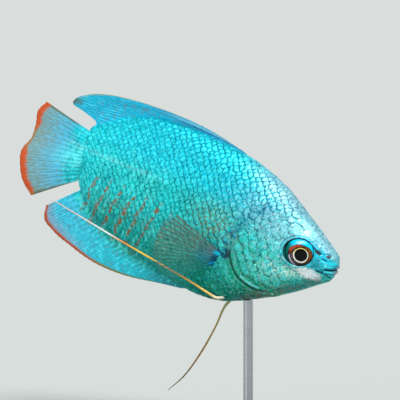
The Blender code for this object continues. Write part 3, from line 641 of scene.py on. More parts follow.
def turn_table():
    """For each station, the turn at each distance round the flank from its widest line, and how
    far the flank reaches above and below that line."""
    station = np.linspace(0.6, 61.0, 152)
    turn = np.radians(np.linspace(-90, 90, 241))
    flank = body_point(station[:, None], turn[None, :])
    run = np.linalg.norm(np.diff(flank, axis=1), axis=-1)
    run = np.concatenate([np.zeros((len(station), 1)), np.cumsum(run, axis=1)], axis=1)
    run = run - run[:, [120]]
    distance = np.linspace(-26, 26, 521)
    turns = np.array([np.interp(distance, r, turn) for r in run])
    return station, distance, turns, run[:, 0], run[:, -1]


STATION, DISTANCE, TURNS, FLANK_DOWN, FLANK_UP = turn_table()


def turn_at(back, distance):
    """Turn round the body at a distance from the widest line, read between the table's places."""
    i = np.clip((back - STATION[0]) / (STATION[1] - STATION[0]), 0, len(STATION) - 1.001)
    j = np.clip((distance - DISTANCE[0]) / (DISTANCE[1] - DISTANCE[0]), 0, len(DISTANCE) - 1.001)
    i0, j0 = i.astype(int), j.astype(int)
    s, t = i - i0, j - j0
    low = TURNS[i0, j0] * (1 - t) + TURNS[i0, j0 + 1] * t
    high = TURNS[i0 + 1, j0] * (1 - t) + TURNS[i0 + 1, j0 + 1] * t
    return low * (1 - s) + high * s


def scale_seats(first, last, pitch, row_pitch):
    """Staggered columns of seats as (back, distance from the widest line) pairs."""
    seats, back, column = [], first, 0
    while back < last:
        rows = np.arange(-ROWS_EACH_WAY, ROWS_EACH_WAY + 1) + 0.5 * (column % 2)
        rows = rows * smooth_values(row_pitch, back)[0]
        seats.append(np.column_stack([back - COLUMN_LEAN * rows, rows]))
        back += smooth_values(pitch, back)[0]
        column += 1
    return np.concatenate(seats)


def seats_on(seats, keep):
    """The seats that lie on the flank and that keep(back, up) allows."""
    seats = seats[(seats[:, 0] > 8.0) & (seats[:, 0] < 60.4)]
    low = np.interp(seats[:, 0], STATION, FLANK_DOWN) + 0.2
    high = np.interp(seats[:, 0], STATION, FLANK_UP) - 0.2
    seats = seats[(seats[:, 1] > low) & (seats[:, 1] < high)]
    place = body_point(seats[:, 0], turn_at(seats[:, 0], seats[:, 1]))
    return seats[keep(place[:, 0], place[:, 2])]


def trunk_zone(back, up):
    """Behind the gill opening, and over the nape as far as above the eye."""
    slit = distance_to(back, up, GILL_SLIT)
    behind = (ahead_of_gill(back, up) < -0.55) & (slit > 1.15)
    nape = (up > GILL_OPENS_BELOW + 0.3) & (back + (up - 8.0) * 0.4 > 10.5)
    return behind | (nape & (eye_distance(back, up) > 4.4))


def cheek_zone(back, up):
    """Gill cover and cheek, clear of the eye, the jaw and the cover's free edge."""
    clear = (ahead_of_gill(back, up) > 0.2) & (eye_distance(back, up) > 4.3)
    clear = clear & (distance_to(back, up, GILL_SLIT) > 1.5)
    above_slit = up > np.interp(back, (10.0, 17.0, 20.0, 21.5), (-8.2, -8.4, -5.6, -3.0))
    return clear & above_slit & (up < GILL_OPENS_BELOW + 0.3) & (back > 8.6) & (back + up > 1.5)


def sheet_faces(rows, columns):
    """Quads of a closed sheet: a grid of points, a second one turned over and counted on from it,
    and a rim that joins their borders."""
    count = rows * columns
    face = grid_faces(rows, columns, closed=False)
    number = np.arange(count).reshape(rows, columns)
    sides = [number[0, :-1], number[:-1, -1], number[-1, :0:-1], number[:0:-1, 0]]
    border = np.concatenate(sides)
    after = np.roll(border, -1)
    rim = np.stack([border, border + count, after + count, after], axis=-1)
    return np.concatenate([face, face[:, ::-1] + count, rim])


def scale_coat(name, side, seats, lengths, widths, looseness, seed):
    """Discs on an elliptical grid, bent to the body, each rising from its root to its rear edge
    and slightly crowned; both faces share one outline."""
    line = np.linspace(-1, 1, SCALE_CELLS + 1)
    u, v = np.meshgrid(line, line, indexing="ij")
    across = (v * np.sqrt(1 - u * u / 2)).ravel()
    along = (u * np.sqrt(1 - v * v / 2)).ravel()
    rng = np.random.default_rng(seed)
    chance = rng.random((len(seats), 5))
    sizes = 1 + (chance[:, :2] - 0.5) * looseness[:, None]
    long, wide = sizes.T[..., None] * (lengths[:, None] / 2, widths[:, None] / 2)
    turn = (chance[:, 2:3] - 0.5) * looseness[:, None] * 1.6
    drift = (chance[:, 3:] - 0.5) * looseness[:, None]
    run, spread = along * long, across * wide
    back = seats[:, :1] + drift[:, :1] + run * np.cos(turn) - spread * np.sin(turn)
    distance = seats[:, 1:] + drift[:, 1:] + run * np.sin(turn) + spread * np.cos(turn)
    back = np.clip(back, 0.7, BODY_LENGTH - 1.0)
    turn = turn_at(back, distance)
    flank, outward = body_point(back, turn), body_normal(back, turn)
    crown = CROWN_RISE * (1 - across**2) * (along + 1) / 2
    rise = ROOT_RISE + EDGE_RISE * (along + 1) + crown + 0.015 * chance[:, :1]
    upper = flank + outward * rise[..., None]
    lower = flank + outward * (rise - SCALE_THICK)[..., None]
    points = np.stack([upper, lower], axis=1)
    points[..., 1] *= -side
    cells = SCALE_CELLS + 1
    one = sheet_faces(cells, cells)
    if side > 0:
        one = one[:, ::-1]
    first = np.arange(len(seats)) * 2 * cells**2
    piece = new_piece(name, points.reshape(-1, 3), (one + first[:, None, None]).reshape(-1, 4))
    disc = [np.tile(share, (len(seats), 2, 1)).reshape(-1) for share in (across, along)]
    own_chance = np.repeat(chance[:, 1], 2 * cells**2)
    keep_vector(piece.data, "scale", np.column_stack([*disc, own_chance]))
    root_u = seats[:, :1] / BAKE_LENGTH + BAKE_PATCH * (along - 0.5) / 2
    root_v = (seats[:, 1:] + BAKE_HALF_HEIGHT) / (2 * BAKE_HALF_HEIGHT) + BAKE_PATCH * across / 2
    place = np.repeat(np.stack([root_u, root_v], axis=-1)[:, None], 2, axis=1)
    bake_map(piece.data, place.reshape(-1, 2))
    return piece


scales = Finish("scale_turquoise", Metallic=0.35, Coat_Weight=0.05, Specular_IOR_Level=0.12)
fish = scales.attribute("fish")
_, (across, along, chance) = scales.attribute("scale")
back, up = fish[1][0], fish[1][2]
grain = scales.noise(fish[0], 0.4, detail=3.0)
rim = across * across + along * along
tone = fish_markings(scales, fish)
# Painted sheen on the scales: a pale spot on each scale's crown, fainter towards the belly, and
# pale flecks, stronger higher up.
bead = across * across * 1.3 + (along - 0.2) ** 2.0 * 1.3
crown_sheen = bead.rise(0.62, 0.04) * (0.45 + 0.4 * chance) * (0.25 + 0.75 * grain.rise(0.4, 0.6))
nape = (back + up * 0.5).rise(36.0, 18.0) * up.rise(-2.0, 6.0)
sheen_tone = scales.mix(nape, (72, 238, 240), (164, 222, 238))
shimmer = scales.noise(fish[0], 0.5, detail=1.0)
tone = scales.layers(
    tone,
    (chance.rise(0.5, 0.0) * 0.25, (0, 130, 156)),
    # Painted sheen: pale spots on the scale crowns and pale flecks.
    (crown_sheen * up.rise(-13.0, -5.0) * (1.0 - 0.3 * nape), sheen_tone),
    (shimmer.rise(0.52, 0.64) * (0.2 + 0.24 * up.rise(-12.0, -2.0)), sheen_tone),
    (shimmer.rise(0.46, 0.34) * 0.4, (0, 120, 136)),
    (rust_bars(scales, fish[0], back, up) * 0.7, RUST),
)
dark_edge = rim.rise(0.5, 0.95) * (along * 0.85 - across * 0.45).rise(-0.1, 0.65)
patchy = scales.noise(fish[0], 1.6, detail=2.0).rise(0.38, 0.56)
dusky = (back - up * 0.4).bell(26.5, 9.0) * up.bell(-1.5, 6.5)
edge_tone = scales.mix(dusky, (0, 72, 88), (104, 76, 34))
faded = (0.12 + 0.48 * back.rise(50.0, 32.0) * back.rise(14.0, 24.0)) * back.rise(61.0, 56.0)
faded = faded * (0.35 + 0.65 * patchy) * (0.6 + 0.7 * grain.rise(0.35, 0.6))
scales.feed(
    Base_Color=scales.mix(dark_edge * faded, tone, edge_tone),
    Roughness=0.4 + 0.3 * dark_edge,
    Normal=scales.bumps(grain, 0.03),
)
trunk_seats = seats_on(scale_seats(*TRUNK_COLUMNS, TRUNK_PITCH, ROW_PITCH), trunk_zone)
cheek_seats = seats_on(scale_seats(*CHEEK_COLUMNS, CHEEK_PITCH, CHEEK_ROW_PITCH), cheek_zone)
seats = np.concatenate([trunk_seats, cheek_seats])
lengths, widths = (
    np.concatenate(
        [smooth_values(pitch, trunk_seats[:, 0])[:, 0] * trunk, np.full(len(cheek_seats), cheek)]
    )
    for pitch, trunk, cheek in zip((TRUNK_PITCH, ROW_PITCH), TRUNK_SCALE_PER_PITCH, CHEEK_SCALE)
)
looseness = np.repeat([TRUNK_LOOSENESS, CHEEK_LOOSENESS], [len(trunk_seats), len(cheek_seats)])
for side, name, seed in ((-1, "right", 3), (1, "left", 4)):
    coat = scale_coat("scales_" + name, side, seats, lengths, widths, looseness, seed)
    coat.data.materials.append(scales.material)
    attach(coat, "root")


# The eyes: wet balls set in the orbits, with a black pupil, a thin gold ring, a rust-brown iris and
# a bright turquoise crescent above. Each is a flattened ball with a slight bulge over the pupil.
EYE_DEPTH = 1.3
EYE_TURN = math.radians(8.0)
EYE_RINGS, EYE_SPOKES, EYE_BULGE = 40, 64, 0.12
PUPIL_AHEAD, PUPIL_ABOVE = 0.62, -0.55


def eye_points(side):
    """Rings round the eye's axis, from the front's centre over the rim to the back's centre:
    radius times the sine, depth times the cosine of the ring's angle, plus the bulge."""
    ring = np.linspace(0, math.pi, EYE_RINGS)[1:-1, None]
    spoke = full_turn(EYE_SPOKES)[None, :]
    flat = EYEBALL * np.sin(ring)
    out = EYE_DEPTH * np.cos(ring) + EYE_BULGE * bump_at(flat, 1.5) * (ring < math.pi / 2)
    forward, upward = flat * np.cos(spoke), flat * np.sin(spoke)
    out = np.broadcast_to(out, forward.shape)
    poles = np.array([[0.0, 0.0, EYE_DEPTH + EYE_BULGE], [0.0, 0.0, -EYE_DEPTH]])
    own = np.concatenate([np.stack([forward, upward, out], axis=-1).reshape(-1, 3), poles])
    ahead = own[:, 0] * math.cos(EYE_TURN) + own[:, 2] * math.sin(EYE_TURN)
    away = own[:, 2] * math.cos(EYE_TURN) - own[:, 0] * math.sin(EYE_TURN)
    return np.column_stack([EYE_BACK - ahead, side * (EYE_OUT + away), EYE_UP + own[:, 1]]), own


def iris_finish():
    """Rings of colour about the pupil. The iris reaches further above and behind it, and what lies
    outside the iris changes with the direction from the pupil."""
    finish = Finish(
        "wet_eye", Roughness=0.2, Coat_Weight=0.3, Coat_Roughness=0.03, Specular_IOR_Level=0.03
    )
    vector, (ahead, above, _) = finish.attribute("gaze")
    wide, tall = ahead - PUPIL_AHEAD, above - PUPIL_ABOVE
    from_pupil = (wide * wide + tall * tall) ** 0.5
    from_centre = ((ahead * EYE_SQUASH[0]) ** 2.0 + (above * EYE_SQUASH[1]) ** 2.0) ** 0.5
    streak = finish.noise(vector, 0.3, detail=3.0)
    stretch = (tall * 0.1 - wide).larger(0.0)
    reach = from_pupil - stretch * 0.22 + tall.rise(1.2, 2.0) * 0.14 + (streak - 0.5) * 0.25
    olive = finish.noise(vector, 0.5, detail=1.0).rise(0.5, 0.64)
    patch = reach.rise(1.66, 1.84) * wide.rise(0.3, -0.3) * tall.rise(0.7, 1.3)
    glint = tall.bell(2.5, 0.5) * wide.bell(-0.2, 1.1) * 0.85
    blue = finish.mix(glint, (0, 210, 244), (214, 226, 246))
    outer = finish.mix((tall + wide * 0.9).rise(-0.6, 1.3), (0, 112, 98), blue)
    pale = from_pupil.bell(2.42, 0.26) * wide.rise(-0.8, -1.3) * tall.rise(0.4, -0.3)
    inner = from_pupil.bell(1.95, 0.16) * wide.rise(-0.7, -1.1) * tall.rise(0.5, -0.2)
    inner = inner * streak.rise(0.42, 0.56)
    gold_reach = 1.42 + (wide + tall).rise(0.8, -1.4) * 0.16
    gold = finish.mix(tall.rise(0.2, 1.2), (244, 242, 222), (232, 216, 120))
    iris = finish.layers(
        (44, 24, 18),
        (streak.rise(0.35, 0.65), (128, 66, 24)),
        (olive * 0.5, (96, 92, 30)),
        (wide.rise(0.9, 1.6) * 0.4, (150, 84, 26)),
        ((wide + tall).rise(-1.2, -2.2) * 0.8, (34, 20, 34)),
        (patch * streak.rise(0.25, 0.5), (222, 58, 16)),
        (reach.bell(2.1, 0.14), (8, 16, 40)),
        (reach.rise(2.12, 2.24), outer),
        (pale, (226, 222, 238)),
        (inner * 0.7, (176, 160, 206)),
        (from_centre.rise(2.72, 2.86), (0, 56, 84)),
        ((from_pupil - gold_reach).bell(0.1, 0.14), (20, 16, 22)),
        ((from_pupil - gold_reach).rise(0.05, -0.04), gold),
    )
    finish.feed(Base_Color=finish.mix(from_pupil.rise(1.34, 1.24), iris, (2, 2, 3)))
    return finish


iris_material = iris_finish().material
for side, name in ((-1, "right"), (1, "left")):
    points, own = eye_points(side)
    body = grid_faces(EYE_RINGS - 2, EYE_SPOKES, closed=True)
    last = (EYE_RINGS - 2) * EYE_SPOKES
    caps = (
        fan_faces(last, np.arange(EYE_SPOKES), outwards=True),
        fan_faces(last + 1, np.arange(last - EYE_SPOKES, last), outwards=False),
    )
    faces = [body[:, ::-1], *caps] if side < 0 else [body, *(c[:, ::-1] for c in caps)]
    eye = new_piece("eye_ball_" + name, points, *faces)
    level = in_row(points) - in_row(np.array([EYE_BACK, side * EYE_OUT, EYE_UP]))
    keep_vector(eye.data, "gaze", np.column_stack([level[:, 0], level[:, 2], own[:, 2] * MM]) / MM)
    eye.data.materials.append(iris_material)
    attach(eye, "root")
    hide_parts("eye_" + name)


# The median fins: thin clear membrane over fine rays, blue on the back, sky blue below, with a
# rust-red margin. Each is a closed sheet, thicker at its rays, rooted in the body's ridge.
DORSAL_BASE = (26.6, 59.5)
DORSAL_EDGE = (
    (0.0, 27.8, 14.3), (0.13, 36.0, 15.6), (0.27, 45.0, 15.95), (0.41, 53.5, 15.45),
    (0.54, 60.5, 14.25), (0.64, 64.4, 12.75), (0.71, 66.7, 11.2),
    (0.77, 67.3, 9.85), (0.88, 64.2, 9.0), (1.0, 60.4, 8.1),
)
ANAL_BASE = (28.6, 59.3)
ANAL_EDGE = (
    (0.0, 29.9, -17.2), (0.15, 35.5, -18.3), (0.3, 41.5, -19.5), (0.5, 49.2, -19.8),
    (0.7, 56.5, -18.6), (0.85, 61.5, -17.2), (0.95, 64.4, -15.2),
    (1.0, 64.8, -12.8),
)
CAUDAL_BASE = ((0.0, 61.0, 5.6), (1.0, 59.4, -4.7))
CAUDAL_EDGE = (
    (0.0, 73.7, 7.7), (0.12, 75.0, 5.4), (0.3, 74.5, 2.2), (0.45, 74.3, -1.0),
    (0.57, 75.3, -3.6), (0.75, 74.4, -7.2), (0.9, 72.3, -10.4), (1.0, 69.6, -12.4),
)
FIN_ROWS, FIN_COLUMNS_PER_RAY, SUNK_SHARE = 44, 10, 0.6
RAY_REACH, BRANCH_REACH, EDGE_DIP = 0.22, 0.1, 0.07
# Each form: number of rays, thickness at base and edge, depth sunk into the body, extra thickness
# of the fleshy root, and the share of the thickness that is lost between the rays.
DORSAL_FORM = (26, 0.7, 0.3, 1.6, 0.0, 0.45)
ANAL_FORM = (30, 0.7, 0.3, 1.6, 0.0, 0.45)
CAUDAL_FORM = (16, 0.9, 0.3, 1.6, 2.1, 0.3)


def ridge(limits, above):
    """Base of a fin on the body's upper or lower ridge, as a function of the share along it."""

    def base(share):
        back = limits[0] + (limits[1] - limits[0]) * share
        point = body_point(back, np.full(len(back), math.pi / 2 if above else -math.pi / 2))
        return point[:, [0, 2]]

    return base


def fin_sheet(name, base, edge, form, lateral):
    """Two faces of a grid from base to edge, parted by a thickness that swells at each ray and,
    further out, at the two branches of each; the free edge dips between the rays. A sheath adds a
    fleshy thickness near the root, most at the middle of the fin."""
    rays, base_thick, edge_thick, sunk, sheath, relief = form
    share = np.linspace(0, 1, (rays - 1) * FIN_COLUMNS_PER_RAY + 1)
    phase = share * (rays - 1)
    from_ray = np.abs(phase - np.round(phase))
    ray = bump_at(from_ray, RAY_REACH)
    branch = bump_at(np.abs(from_ray - RAY_REACH), BRANCH_REACH)
    root, tip = base(share), edge(share)
    run = tip - root
    length = np.linalg.norm(run, axis=1, keepdims=True)
    tip = tip - run / length * (EDGE_DIP * (1 - ray))[:, None]
    along = np.concatenate([[-SUNK_SHARE, -0.2], np.linspace(0, 1, FIN_ROWS)])
    inward = np.minimum(along, 0)[:, None, None] * (run / length)[None] * sunk / SUNK_SHARE
    outward = root[None] + (tip - root)[None] * np.maximum(along, 0)[:, None, None]
    flat = outward + inward
    split = ease(along, 0.35, 0.6)[:, None]
    swell = ray[None] * (1 - split) + branch[None] * split
    thick = base_thick + (edge_thick - base_thick) * np.clip(along, 0, 1)[:, None] ** 0.8
    half = thick * (1 - relief * (1 - swell)) / 2 * (1 - 0.55 * ease(along, 0.94, 1.0))[:, None]
    flesh = sheath / 2 * (1 - ease(along, 0.0, 0.4))[:, None]
    half = half + flesh * (1 - np.abs(2 * share - 1) ** 2.5)[None]
    side = lateral(share[None], along[:, None])
    faces = [np.stack([flat[..., 0], y, flat[..., 1]], axis=-1) for y in (side - half, side + half)]
    piece = new_piece(name, np.concatenate(faces).reshape(-1, 3), sheet_faces(*half.shape))
    turned_out(piece.data)
    marks = np.stack([*np.broadcast_arrays(share, along[:, None]), swell], axis=-1)
    keep_vector(piece.data, "fin", np.tile(marks.reshape(-1, 3), (2, 1)))
    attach(piece, "root")
    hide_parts(name.replace("_membrane", ""))
    return piece


def fin_finish(name):
    """A satin finish and what its colours are laid by: the share along the base, the share from
    base to edge, the rays, streaks along them, and flecks."""
    finish = Finish(name, Roughness=0.42, Coat_Weight=0.06, Specular_IOR_Level=0.2)
    vector, (share, along, ray) = finish.attribute("fin")
    dashes = finish.stretched(vector, (95.0, 9.0, 0.0), 2.0)
    fleck = finish.noise(finish.attribute("fish")[0], 0.9)
    return finish, share, along, ray, dashes, fleck


def scaly_root(finish, tone, along, fleck, reach):
    """Body colour with small scales runs out over the fin's root and frays into the membrane."""
    fish = finish.attribute("fish")
    cell = finish.node("TexVoronoi", {}, {"Vector": fish[0], "Scale": 1.0})
    skin_tone = finish.layers(
        trunk_markings(finish, fish),
        (cell.rise(0.35, 0.1) * 0.5, (112, 244, 250)),
        (cell.rise(0.4, 0.7) * 0.3, (0, 124, 146)),
    )
    frayed = (along + (fleck - 0.5) * reach * 1.2).rise(reach * 0.4, reach)
    return finish.mix(frayed, skin_tone, tone)


dorsal, share, along, ray, dashes, fleck = fin_finish("blue_back_fin")
rear = share.rise(0.3, 0.5)
folded = share.rise(0.42, 0.25)
tone = dorsal.layers(
    (16, 156, 196),
    (rear, (0, 196, 230)),
    (dashes.rise(0.5, 0.66) * along.rise(0.1, 0.3) * 0.7, (96, 226, 250)),
    (ray * along.rise(0.05, 0.3) * 0.45, (0, 104, 146)),
    (dashes.rise(0.46, 0.3) * 0.5, (44, 128, 160)),
    (fleck.rise(0.52, 0.66) * rear * along.rise(0.85, 0.5) * 0.6, (110, 132, 150)),
    (folded * along.bell(0.42, 0.14) * 0.9, (0, 74, 116)),
    (folded * along.bell(0.68, 0.22) * 0.7, (124, 196, 218)),
)
tone = scaly_root(dorsal, tone, along, fleck, 0.16)
corner = share.bell(0.745, 0.075) * (along + fleck * 0.2).rise(0.92, 1.08)
edge = along.rise(0.93, 0.98) * dashes.rise(0.4, 0.52) * share.rise(0.72, 0.6)
tone = dorsal.layers(
    tone,
    (corner * 0.85, (84, 92, 56)),
    (edge, (168, 148, 60)),
)
dorsal.feed(Base_Color=tone, Normal=dorsal.bumps(dashes, 0.04))

anal, share, along, ray, dashes, fleck = fin_finish("sky_anal_fin")
misty = (along + fleck * 0.3).rise(0.8, 1.06) * share.rise(0.55, 0.85)
tone = anal.layers(
    (0, 180, 172),
    (along.rise(0.0, 0.6), (10, 188, 206)),
    (share.rise(0.45, 0.95), (54, 192, 222)),
    (dashes.rise(0.5, 0.68) * 0.35, (92, 226, 244)),
    (share.rise(0.35, 0.0) * 0.6, (0, 116, 108)),
    (ray * along.rise(0.1, 0.3) * 0.25, (0, 118, 150)),
    (fleck.rise(0.5, 0.36) * (0.28 + 0.34 * share), (84, 140, 158)),
    (fleck.rise(0.54, 0.66) * 0.5, (96, 232, 246)),
    (misty * 0.7, (140, 152, 176)),
)
tone = scaly_root(anal, tone, along, fleck, 0.3)
margin = anal.mix(share.rise(0.35, 0.65), (110, 122, 44), (180, 78, 36))
edge = (along + (fleck - 0.5) * 0.1).rise(0.89, 0.96) * share.rise(0.05, 0.3)
tone = anal.mix(edge, tone, margin)
anal.feed(Base_Color=tone, Normal=anal.bumps(dashes, 0.04))

caudal, share, along, ray, dashes, fleck = fin_finish("lilac_tail_fin")
lobe = (share.bell(0.08, 0.42) + share.bell(0.78, 0.4)).rise(0.1, 0.7)
tone = caudal.layers(
    (60, 186, 224),
    (along.rise(0.3, 0.9), (124, 166, 170)),
    (dashes.rise(0.5, 0.66) * along.rise(0.9, 0.7) * 0.75, (104, 204, 246)),
    (dashes.rise(0.48, 0.34) * 0.6, (132, 142, 118)),
    (ray * fleck.rise(0.35, 0.6) * 0.5, (96, 122, 96)),
)
tone = scaly_root(caudal, tone, along, fleck, 0.4)
wedge = along.rise(0.62, 0.2) * share.bell(0.55, 0.32)
sides = (share - 0.5).magnitude().rise(0.46, 0.5)
rim = (along + (fleck - 0.5) * 0.07).rise(0.95 - lobe * 0.1, 0.98 - lobe * 0.05)
tone = caudal.layers(
    tone,
    (wedge * fleck.rise(0.3, 0.6) * 0.75, (110, 244, 250)),
    (sides * along.rise(0.1, 0.4) * 0.8, (96, 100, 60)),
    (rim, caudal.mix(lobe, (166, 118, 70), (206, 84, 34))),
)
caudal.feed(Base_Color=tone, Normal=caudal.bumps(dashes, 0.04))


def wave(share, along):
    """A fin on the midline waves slightly along its length."""
    return 0.3 * np.clip(along, 0, 1) * np.sin(share * 3 * math.pi)


def swing(share, along):
    """The tail fin swings to the fish's left, more towards its edge, with a slight wave across."""
    out = np.clip(along, 0, 1)
    return 1.6 * out**1.6 + 0.35 * out * np.sin(share * 2 * math.pi)


def along_curve(points):
    """A smooth curve through the points, as a function of the share along it."""
    return lambda share: smooth_values(points, share)


for name, finish, slot, base, edge, form, lateral in (
    ("dorsal", dorsal, "median_fin", ridge(DORSAL_BASE, True), DORSAL_EDGE, DORSAL_FORM, wave),
    ("anal", anal, "median_fin", ridge(ANAL_BASE, False), ANAL_EDGE, ANAL_FORM, wave),
    ("caudal", caudal, "tail_fin", along_curve(CAUDAL_BASE), CAUDAL_EDGE, CAUDAL_FORM, swing),
):
    fin = fin_sheet(f"{name}_fin_membrane", base, along_curve(edge), form, lateral)
    fin.data.materials.append(finish.material)


# The pectoral fins: clear grey-teal fans that row beside the breast, each on a fleshy blue root
# with a dark spot. They are made as the other fins are, and stand off the flank.
PECTORAL_BASE = ((22.7, -6.0), (23.6, -9.0))
PECTORAL_ANGLES = (math.radians(22.0), math.radians(-42.0))
PECTORAL_LENGTHS = ((0.0, 11.6), (0.3, 12.9), (0.6, 12.5), (0.85, 10.2), (1.0, 7.6))
PECTORAL_SPREAD, PECTORAL_REACH = math.radians(22.0), 12.5
PECTORAL_ROOT_OUT = (5.0, 4.6)
PECTORAL_FORM = (10, 0.5, 0.22, 0.8, 0.0, 0.45)


def pectoral_base(share):
    """The straight line between the base's two ends."""
    start, end = np.array(PECTORAL_BASE)
    return start + share[:, None] * (end - start)


def pectoral_edge(share):
    """Rays fan from the base by an angle, each of its own length."""
    angle = PECTORAL_ANGLES[0] + share * (PECTORAL_ANGLES[1] - PECTORAL_ANGLES[0])
    reach = smooth_values(PECTORAL_LENGTHS, share)[:, 0]
    fan = np.column_stack([np.cos(angle) * math.cos(PECTORAL_SPREAD), np.sin(angle)])
    return pectoral_base(share) + reach[:, None] * fan


pectoral, share, along, ray, dashes, fleck = fin_finish("clear_side_fin")
lower = share.rise(0.4, 0.9)
root = along.rise(0.14, 0.05)
tone = pectoral.layers(
    (56, 120, 108),
    (dashes.rise(0.42, 0.6), (120, 190, 170)),
    (ray * 0.75, pectoral.mix(share.rise(0.2, 0.6), (44, 50, 44), (16, 66, 62))),
    (along.rise(0.5, 0.2) * dashes.rise(0.45, 0.6), (30, 150, 190)),
    (share.rise(0.6, 0.1) * dashes.rise(0.4, 0.55) * 0.5, (134, 104, 72)),
    (lower * 0.75, (10, 104, 92)),
    (root * 0.9, (8, 72, 106)),
    (root * share.bell(0.18, 0.2), (30, 210, 250)),
    (root * share.bell(0.85, 0.16), (10, 150, 210)),
)
clear = (0.22 + 0.42 * ray + 0.25 * dashes.rise(0.5, 0.7)) * (1.0 - 0.35 * lower)
clear = clear + 0.6 * along.rise(0.3, 0.08)
pectoral.feed(Base_Color=tone, Alpha=clear, Roughness=0.6, Coat_Weight=0.0, Specular_IOR_Level=0.08)
for side, name in ((-1, "right"), (1, "left")):

    def stand_off(share, along):
        """Away from the flank: a quick step at the root, a steady spread, and a shallow cup."""
        skin_out = PECTORAL_ROOT_OUT[0] + (PECTORAL_ROOT_OUT[1] - PECTORAL_ROOT_OUT[0]) * share
        out = np.clip(along, 0, 1)
        step = 0.5 * np.minimum(1.0, out * 6) + np.minimum(along, 0) * 2.2
        spread = PECTORAL_REACH * math.sin(PECTORAL_SPREAD) * out
        return side * (skin_out + step + spread + 0.6 * out * np.sin(share * math.pi))

    full_name = f"pectoral_fin_{name}_membrane"
    fin = fin_sheet(full_name, pectoral_base, pectoral_edge, PECTORAL_FORM, stand_off)
    fin.data.materials.append(pectoral.material)


# The thread fins: each pelvic fin is one long feeler, amber in the middle and pale at root and tip.
# It is a tapering tube carried along a smooth path from the breast.
RIGHT_PATH = (
    (19.4, 1.2, -14.4), (20.9, 2.6, -15.4), (23.0, 3.2, -15.1), (26.0, 3.8, -14.5),
    (34.4, 5.0, -13.3), (44.0, 6.0, -12.1), (51.4, 6.5, -11.1), (60.8, 6.9, -9.9),
)
LEFT_PATH = (
    (19.0, 1.0, -14.9), (20.2, 2.6, -17.2), (21.4, 5.6, -22.3), (23.6, 9.6, -30.0),
    (26.4, 13.6, -36.9), (30.2, 18.6, -42.6),
)
FEELER_RADII = ((0.0, 0.38), (0.12, 0.26), (0.5, 0.2), (0.8, 0.15), (1.0, 0.08))
FEELER_SIDES, FEELER_STEPS, FEELER_JOINTS = 12, 16, 46
RIGHT_COLOURS = (
    (0.0, (226, 230, 222)),
    (0.12, (226, 184, 70)),
    (0.3, (220, 140, 36)),
    (0.48, (240, 196, 40)),
    (0.58, (222, 140, 40)),
    (0.68, (236, 236, 230)),
    (0.9, (226, 190, 178)),
)
LEFT_COLOURS = (
    (0.0, (176, 186, 132)),
    (0.3, (192, 166, 82)),
    (0.55, (188, 124, 48)),
    (0.8, (150, 150, 90)),
    (1.0, (150, 180, 150)),
)


def feeler(name, side, route):
    """Rings of points about the path, square to it, with closed ends."""
    path = smooth_path(route, FEELER_STEPS)
    path[:, 1] *= side
    passed = np.cumsum(np.linalg.norm(np.diff(path, axis=0), axis=1))
    share = np.concatenate([[0], passed / passed[-1]])
    run = np.gradient(path, axis=0)
    run /= np.linalg.norm(run, axis=1, keepdims=True)
    across = np.cross(run, (0.0, 1.0, 0.0))
    across /= np.linalg.norm(across, axis=1, keepdims=True)
    upright = np.cross(run, across)
    joint = 1 + 0.05 * np.sin(share * 2 * math.pi * FEELER_JOINTS)
    radius = smooth_values(FEELER_RADII, share)[:, 0] * joint
    turn = full_turn(FEELER_SIDES)[None, :, None]
    spoke = np.cos(turn) * across[:, None] + np.sin(turn) * upright[:, None]
    rings = path[:, None] + radius[:, None, None] * spoke
    piece = capped_tube(name + "_thread", rings, path[0], path[-1])
    along = np.concatenate([np.repeat(share, FEELER_SIDES), [0, 1]])
    keep_vector(piece.data, "thread", np.column_stack([along, along * 0, along * 0]))
    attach(piece, "root")
    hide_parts(name)
    return piece


def thread_finish(name, stops):
    """Colour along the thread, from one stop to the next."""
    finish = Finish(name, Roughness=0.4, Coat_Weight=0.3)
    vector = finish.attribute("fish")[0]
    along = finish.attribute("thread")[1][0]
    tone = stops[0][1]
    for (low, _), (high, shade) in zip(stops, stops[1:]):
        tone = finish.mix(along.rise(low, high), tone, shade)
    grain = finish.noise(vector, 0.5)
    finish.feed(Base_Color=finish.mix(grain.rise(0.45, 0.8) * 0.3, tone, (160, 110, 50)))
    return finish.material


for name, side, route, finish_name, stops in (
    ("pelvic_feeler_right", -1, RIGHT_PATH, "amber_thread", RIGHT_COLOURS),
    ("pelvic_feeler_left", 1, LEFT_PATH, "olive_thread", LEFT_COLOURS),
):
    thread = feeler(name, side, route)
    thread.data.materials.append(thread_finish(finish_name, stops))


# The base: an oval of dark hardwood with a routed edge, waxed. Its rings of points follow the
# routed profile round the oval.
base_low, base_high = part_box("stand_base")
BASE_HALF = ((base_high.x - base_low.x) / 2, (base_high.y - base_low.y) / 2)
BASE_TOP = base_high.z
BASE_PROFILE = (
    (0.0006, 0.0), (0.0, 0.0006), (0.0, 0.0022), (0.0004, 0.0026), (0.0008, 0.0032),
    (0.0016, 0.0038), (0.0024, 0.004),
)
BASE_SIDES = 160


def stacked_ovals(name, rows, centre, sides):
    """Rings one above the other about an upright line, each with its own half widths and height,
    all in metres of the row frame, closed by a fan at either end."""
    turn = full_turn(sides)
    half_x, half_y, height = np.array(rows).T[..., None]
    ring_x, ring_y = centre + half_x * np.cos(turn), half_y * np.sin(turn)
    rings = np.stack(np.broadcast_arrays(ring_x, ring_y, height), axis=-1)
    start, end = ((centre, 0.0, row[2]) for row in (rows[0], rows[-1]))
    return capped_tube(name, rings, start, end, to_row=np.array)


